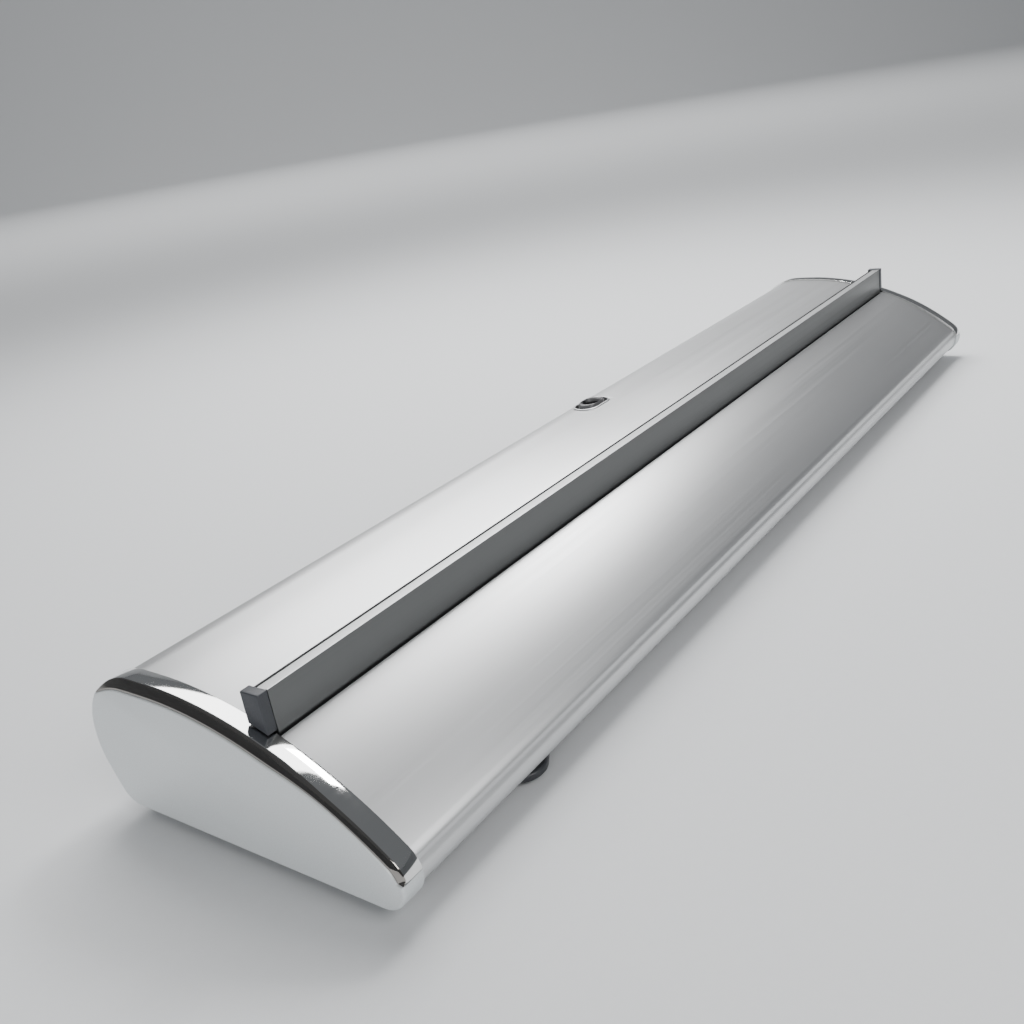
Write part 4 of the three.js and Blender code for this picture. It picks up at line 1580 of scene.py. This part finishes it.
@dataclass
class Roller:
    """The sprung roller's spring; its tube, plugs, bushes and pins stay as the frame has them."""

    finishes: Finishes
    wire: float = 1.1 * MM
    turns: float = 26.0

    def spring(self) -> bpy.types.Object:
        """The torsion spring, wound round the arbor.

        Returns:
            The piece.
        """
        low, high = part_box("torsion_spring")
        radius = 0.5 * (high[2] - low[2]) - self.wire
        place = (low[0] + self.wire, 0.5 * (low[1] + high[1]), 0.5 * (low[2] + high[2]))
        tree = NodeTree("wound_spring")
        coil_radius = tree.given("Coil Radius", radius)
        spiral = tree.node(
            "GeometryNodeCurveSpiral",
            {
                "Resolution": 28,
                "Rotations": tree.given("Turns", self.turns),
                "Start Radius": coil_radius,
                "End Radius": coil_radius,
                "Height": tree.given("Length", high[0] - low[0] - 2 * self.wire),
            },
        )
        wire = tree.node(
            "GeometryNodeCurvePrimitiveCircle",
            {"Resolution": 10, "Radius": tree.given("Wire Radius", self.wire)},
        )
        coil = tree.node(
            "GeometryNodeCurveToMesh",
            {"Curve": spiral.outputs["Curve"], "Profile Curve": wire.outputs["Curve"], "Fill Caps": True},
        )
        stood = tree.node(
            "GeometryNodeTransform",
            {
                "Geometry": coil.outputs["Mesh"],
                "Rotation": (0.0, math.pi / 2, 0.0),
                "Translation": tree.given("Place", place, "NodeSocketVector"),
            },
        )
        piece = tree.run("wound_spring", [], stood.outputs["Geometry"], self.finishes.spring)
        return finished(piece, Body.ROLLER, ["torsion_spring"])

    def build(self) -> None:
        """Builds the spring."""
        self.spring()


# ---- Pole socket ----


@dataclass
class PoleSocket:
    """The pole socket: a bright oval bezel round a recess with a raised, rounded collar; the recess and the
    bore are painted black as shade.
    """

    finishes: Finishes
    rim: float = 1.5 * MM
    bore: float = 6.6 * MM
    collar_length: float = 27.0 * MM
    collar_width: float = 15.6 * MM
    sides: int = 64
    flange_drop: float = 0.4 * MM
    flange_thickness: float = 3.0 * MM
    tube_wall: float = 2.2 * MM
    cup_floor: float = 3.2 * MM
    skirt: float = 0.6 * MM
    chamfer: float = 0.6 * MM
    # How far out from the bore the painted shade of the hole reaches.
    dark_margin: float = 0.3 * MM
    crease: float = 45.0

    def __post_init__(self) -> None:
        """Reads the socket's boxes from the frame."""
        self.low, self.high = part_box("socket_bezel")
        self.cup_low, self.cup_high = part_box("pole_socket")
        self.size = (self.high[0] - self.low[0], self.high[1] - self.low[1])
        self.centre = (0.5 * (self.low[0] + self.high[0]), 0.5 * (self.low[1] + self.high[1]))

    def _oval(self, inset: float, z: float) -> Ring:
        """The oval opening, moved in by inset, at a height."""
        outline = round_ended(self.size[0] - 2 * inset, self.size[1] - 2 * inset, self.sides)
        return level(outline, z, self.centre)

    def bezel(self) -> bpy.types.Object:
        """The bright oval rim.

        Returns:
            The piece.
        """
        top, rim = self.high[2], self.rim
        rings: list[Ring] = [self._oval(0.0, self.low[2])]
        steps = 8
        for i in range(steps + 1):
            turn = math.pi * i / steps
            across = 0.5 * rim * (1 - math.cos(turn))
            rings.append(self._oval(across, top - 0.5 * rim + 0.5 * rim * math.sin(turn)))
        rings.append(self._oval(rim, self.low[2]))
        piece = new_piece("socket_rim", *loft(rings, joined=True), self.finishes.casing, 50.0)
        return finished(piece, Body.CASING, ["socket_bezel"])

    def cup(self) -> bpy.types.Object:
        """The socket: the recessed flange, the rounded collar and the bored tube below.

        Returns:
            The piece.
        """
        flange = self.low[2] - self.flange_drop
        top = self.cup_high[2]
        bottom = self.cup_low[2]
        tube = self.bore + self.tube_wall
        under = flange - self.flange_thickness
        floor = bottom + self.cup_floor

        def blend(share: float, z: float, grow: float = 0.0) -> Ring:
            """A ring between the collar's oval (share 0) and the round bore (share 1)."""
            wide = round_ended(self.collar_length, self.collar_width, self.sides)
            half = self.sides // 2
            ring: Section = []
            for i, (x, y) in enumerate(wide):
                angle = math.pi * ((i % half) / (half - 1) - 0.5) + (math.pi if i >= half else 0.0)
                bx, by = self.bore * math.cos(angle), self.bore * math.sin(angle)
                size = 1 + grow / max(math.hypot(x, y), 1e-9)
                ring.append(((1 - share) * x * size + share * bx, (1 - share) * y * size + share * by))
            return level(ring, z, self.centre)

        rings = [self._oval(0.0, under), self._oval(0.0, flange), blend(0.0, flange, 1.2 * MM)]
        rings.append(blend(0.0, flange + self.skirt, 0.3 * MM))
        steps = 9
        crest = top - flange - self.skirt
        for i in range(steps + 1):
            turn = math.pi * (0.08 + 0.84 * i / steps)
            share = 0.5 * (1 - math.cos(turn))
            rings.append(blend(share, flange + self.skirt + crest * math.sin(turn)))
        rings += [blend(1.0, flange - 2 * MM), blend(1.0, floor)]
        points, faces = loft(rings)
        piece = new_piece("socket_cup", points, faces, self.finishes.socket, self.crease)
        # Painted shade: the bore and everything below the collar's mid-height (the recess and the flange) take
        # the black rubber finish to stand for the shade in the hole and the recess; the grey above carries
        # painted light from above.
        piece.data.materials.append(self.finishes.rubber)
        for face in piece.data.polygons:
            x, y = face.center.x - self.centre[0], face.center.y - self.centre[1]
            if math.hypot(x, y) < self.bore + self.dark_margin or face.center.z < 0.5 * (top + flange):
                face.material_index = 1
        profile: Section = [
            (0.0, bottom),
            (tube - self.chamfer, bottom),
            (tube, bottom + self.chamfer),
            (tube, under),
            (self.bore + 0.2 * MM, under),
            (self.bore + 0.2 * MM, floor),
            (0.0, floor),
        ]
        sleeve = new_piece("socket_sleeve", *turned(profile, (*self.centre, 0.0)), self.finishes.socket)
        merged(piece, [sleeve], self.crease)
        return finished(piece, Body.CASING, ["pole_socket"])

    def build(self) -> None:
        """Builds the socket's pieces."""
        self.bezel()
        self.cup()


# ---- Feet ----


@dataclass
class SwingFoot:
    """One swing-out foot: a rounded bar with a pressed panel, and its two ribbed pads."""

    side: Side
    body: Body
    finishes: Finishes
    length: float = 300.0 * MM
    width: float = 30.0 * MM
    edge: float = 1.4 * MM
    panel_inset: float = 5.0 * MM
    panel_depth: float = 0.5 * MM
    panel_slope: float = 0.6 * MM
    pad_radius: float = 8.0 * MM

    def __post_init__(self) -> None:
        """Reads the foot's pivot and turn from the frame."""
        joint = next(j for j in frame["joints"] if j["child"] == self.body.value)
        self.pivot = (joint["pos_m"][0], joint["pos_m"][1])
        self.turn = math.radians(-joint["range_deg"][0]) * joint["axis"][2]
        low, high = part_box(f"swing_foot_{self.side.label}")
        self.bottom, self.top = low[2], high[2]

    def bar(self) -> bpy.types.Object:
        """The foot's bar.

        Returns:
            The piece.
        """

        def ring(inset: float, z: float) -> Ring:
            """The bar's outline, moved in, at a height."""
            outline = round_ended(self.length - 2 * inset, self.width - 2 * inset, 64)
            return level(outline, z, self.pivot, self.turn)

        sunk = self.panel_inset + self.panel_slope
        rings = [ring(sunk, self.bottom + self.panel_depth), ring(self.panel_inset, self.bottom)]
        rings += [ring(self.edge * rise, self.bottom + self.edge * run) for run, rise in quarter_round()]
        rings += [ring(self.edge * run, self.top - self.edge * rise) for run, rise in quarter_round()]
        rings += [ring(self.panel_inset, self.top), ring(sunk, self.top - self.panel_depth)]
        piece = new_piece(f"foot_bar_{self.side.label}", *loft(rings), self.finishes.foot, 40.0)
        return finished(piece, self.body, [f"swing_foot_{self.side.label}"])

    def pads(self) -> bpy.types.Object:
        """The ribbed rubber pads under both ends.

        Returns:
            The piece.
        """
        name = f"foot_pad_{self.side.label}"
        low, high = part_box(f"{name}_outer")
        tread, ribs = 0.5 * MM, 4
        profile: Section = [(0.0, high[2]), (self.pad_radius, high[2]), (self.pad_radius, low[2] + 0.3 * MM)]
        pitch = (self.pad_radius - 0.6 * MM) / ribs
        for i in range(ribs):
            radius = self.pad_radius - 0.3 * MM - i * pitch
            profile += [(radius, low[2]), (radius - 0.55 * pitch, low[2])]
            profile += [(radius - 0.7 * pitch, low[2] + tread), (radius - 0.9 * pitch, low[2] + tread)]
        profile.append((0.0, low[2]))
        pattern = new_piece(f"{name}_pattern", *turned(profile, sides=32), self.finishes.rubber)
        nodes = [f"{name}_outer", f"{name}_inner"]
        piece = repeated(f"{name}s", pattern, floor_places(nodes), self.finishes.rubber)
        return finished(piece, self.body, nodes)

    def build(self) -> None:
        """Builds the foot's pieces."""
        self.bar()
        self.pads()


@dataclass
class RubberFeet:
    """The four turned rubber feet under the base."""

    finishes: Finishes
    corners: tuple[str, ...] = ("front_left", "front_right", "rear_left", "rear_right")

    def build(self) -> bpy.types.Object:
        """Builds the feet.

        Returns:
            The piece.
        """
        names = [f"rubber_foot_{corner}" for corner in self.corners]
        low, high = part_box(names[0])
        radius, height = 0.5 * (high[0] - low[0]), high[2]
        profile: Section = [
            (0.0, 0.8 * MM),
            (radius * 0.35, 0.8 * MM),
            (radius * 0.42, 0.0),
            (radius - 2.2 * MM, 0.0),
            (radius - 1.6 * MM, 0.4 * MM),
            (radius - 1.0 * MM, 2.2 * MM),
            (radius - 1.3 * MM, 2.6 * MM),
            (radius - 1.3 * MM, 3.2 * MM),
            (radius - 0.8 * MM, 3.6 * MM),
            (radius, height - 0.5 * MM),
            (radius - 0.4 * MM, height),
            (0.0, height),
        ]
        pattern = new_piece("rubber_foot_pattern", *turned(profile), self.finishes.rubber)
        piece = repeated("rubber_feet", pattern, floor_places(names), self.finishes.rubber)
        return finished(piece, Body.CASING, names)


# ---- Kept frame pieces ----


def dress_kept_nodes(finishes: Finishes) -> None:
    """Gives the frame's own pieces that stay in view their materials.

    Args:
        finishes: The stand's finishes.
    """
    kept = {
        finishes.steel: ["end_frame_left", "end_frame_right", "spring_arbor", "axle_pin", "roller_tube"],
        finishes.slate: ["roller_bush_left", "roller_bush_right"],
        finishes.black: ["roller_plug_left", "roller_plug_right", "foot_washer_left", "foot_washer_right"],
    }
    kept[finishes.steel] += ["foot_pivot_left", "foot_pivot_right", "pivot_nut_left", "pivot_nut_right"]
    for finish, names in kept.items():
        for name in names:
            for material_slot in frame["nodes"][name].material_slots:
                material_slot.material = finish
            LOG.info("%s: dressed in %s", name, finish.name)


# ---- Stage ----


@dataclass(frozen=True)
class Viewpoint:
    """The camera: its place, what it looks towards, its roll in degrees and its lens in millimetres."""

    place: Point = (-0.6778, -0.3846, 0.3221)
    aim: Point = (-0.1333, 0.0528, 0.0486)
    roll: float = -9.60
    lens: float = 37.18

    def make(self) -> bpy.types.Object:
        """Returns the camera, made the scene's own."""
        camera = bpy.data.cameras.new("camera")
        camera.lens = self.lens
        camera.sensor_width = 36.0
        camera.clip_start = 0.01
        holder = bpy.data.objects.new("camera", camera)
        bpy.context.scene.collection.objects.link(holder)
        forward = (Vector(self.aim) - Vector(self.place)).normalized()
        level_right = forward.cross(Vector((0, 0, 1))).normalized()
        level_up = level_right.cross(forward)
        turn = math.radians(self.roll)
        right = level_right * math.cos(turn) + level_up * math.sin(turn)
        up = right.cross(forward)
        axes = Matrix((right, up, -forward)).transposed().to_4x4()
        holder.matrix_world = Matrix.Translation(Vector(self.place)) @ axes
        bpy.context.scene.camera = holder
        return holder


@dataclass(frozen=True)
class Softbox:
    """One area light: its place, what it points at, its size, its power and whether reflections show it."""

    name: str
    place: Point
    aim: Point
    size: tuple[float, float]
    power: float
    reflected: bool = True

    def make(self) -> bpy.types.Object:
        """Returns the light."""
        light = bpy.data.lights.new(self.name, "AREA")
        light.shape = "RECTANGLE"
        light.size, light.size_y = self.size
        light.energy = self.power
        holder = bpy.data.objects.new(self.name, light)
        holder.visible_glossy = self.reflected
        bpy.context.scene.collection.objects.link(holder)
        holder.location = self.place
        towards = Vector(self.aim) - Vector(self.place)
        holder.rotation_euler = towards.to_track_quat("-Z", "Y").to_euler()
        return holder


@dataclass
class Studio:
    """A plain pale floor that curves up into a far backdrop, soft lights and a grey surround."""

    radius: float = 14.0
    wall: float = 5.0
    curve: float = 3.0
    sides: int = 96
    floor_tone: Point = (0.62, 0.63, 0.64)
    surround: Point = (0.15, 0.157, 0.165)
    lights: tuple[Softbox, ...] = (
        Softbox("overhead_softbox", (0.55, 0.56, 1.30), (0.55, 0.0, 0.35), (1.3, 1.4), 34.0),
        Softbox("key_softbox", (0.86, 0.09, 1.34), (-0.30, -0.05, 0.08), (0.45, 0.35), 13.0),
        Softbox("front_softbox", (-0.5, -1.6, 1.3), (-0.2, -0.05, 0.05), (1.2, 0.9), 20.0),
        Softbox("end_softbox", (-2.2, -0.35, 0.45), (-0.45, 0.0, 0.05), (1.0, 0.8), 21.0, reflected=False),
        Softbox("backdrop_softbox", (4.4, 4.2, 4.2), (5.2, 5.0, 0.0), (7.0, 7.0), 420.0, reflected=False),
    )

    def floor(self) -> bpy.types.Object:
        """The floor and backdrop as one turned sheet."""
        profile: Section = [(0.0, 0.0), (self.radius - self.curve, 0.0)]
        steps = 12
        for i in range(1, steps + 1):
            turn = 0.5 * math.pi * i / steps
            profile.append(
                (self.radius - self.curve + self.curve * math.sin(turn), self.curve * (1 - math.cos(turn)))
            )
        profile.append((self.radius, self.wall))
        sheet = NodeSheet("studio_floor", Metallic=0.0)
        grain = sheet.noise((160.0, 160.0, 160.0), 3.0)
        sheet.colour(grain, *tones(self.floor_tone, 0.01))
        sheet.roughness(grain, 0.75, 0.85)
        shape = turned(profile, sides=self.sides, least=0.1 * MM, capped=False)
        floor = new_piece("studio_floor", *shape, sheet.material)
        return floor

    def build(self) -> None:
        """Builds the floor, the lights and the surround."""
        self.floor()
        for softbox in self.lights:
            softbox.make()
        world = bpy.data.worlds.new("surround")
        world.use_nodes = True
        world.node_tree.nodes["Background"].inputs["Color"].default_value = (*self.surround, 1.0)
        bpy.context.scene.world = world


# ---- Assembly ----


def main() -> None:
    """Builds the stand, its stage and its camera."""
    logging.basicConfig(level=logging.INFO, format="%(name)s: %(message)s")
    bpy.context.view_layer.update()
    Viewpoint().make()
    finishes = Finishes()
    section = CasingSection()
    casing = Casing(section, finishes)
    casing.build()
    EndCaps(section, finishes, casing.port_centres()).build()
    ClampRail(section, finishes).build()
    Banner(finishes).build()
    Roller(finishes).build()
    PoleSocket(finishes).build()
    SwingFoot(Side.LEFT, Body.LEFT_FOOT, finishes).build()
    SwingFoot(Side.RIGHT, Body.RIGHT_FOOT, finishes).build()
    RubberFeet(finishes).build()
    dress_kept_nodes(finishes)
    Studio().build()


if __name__ == "__main__":
    main()
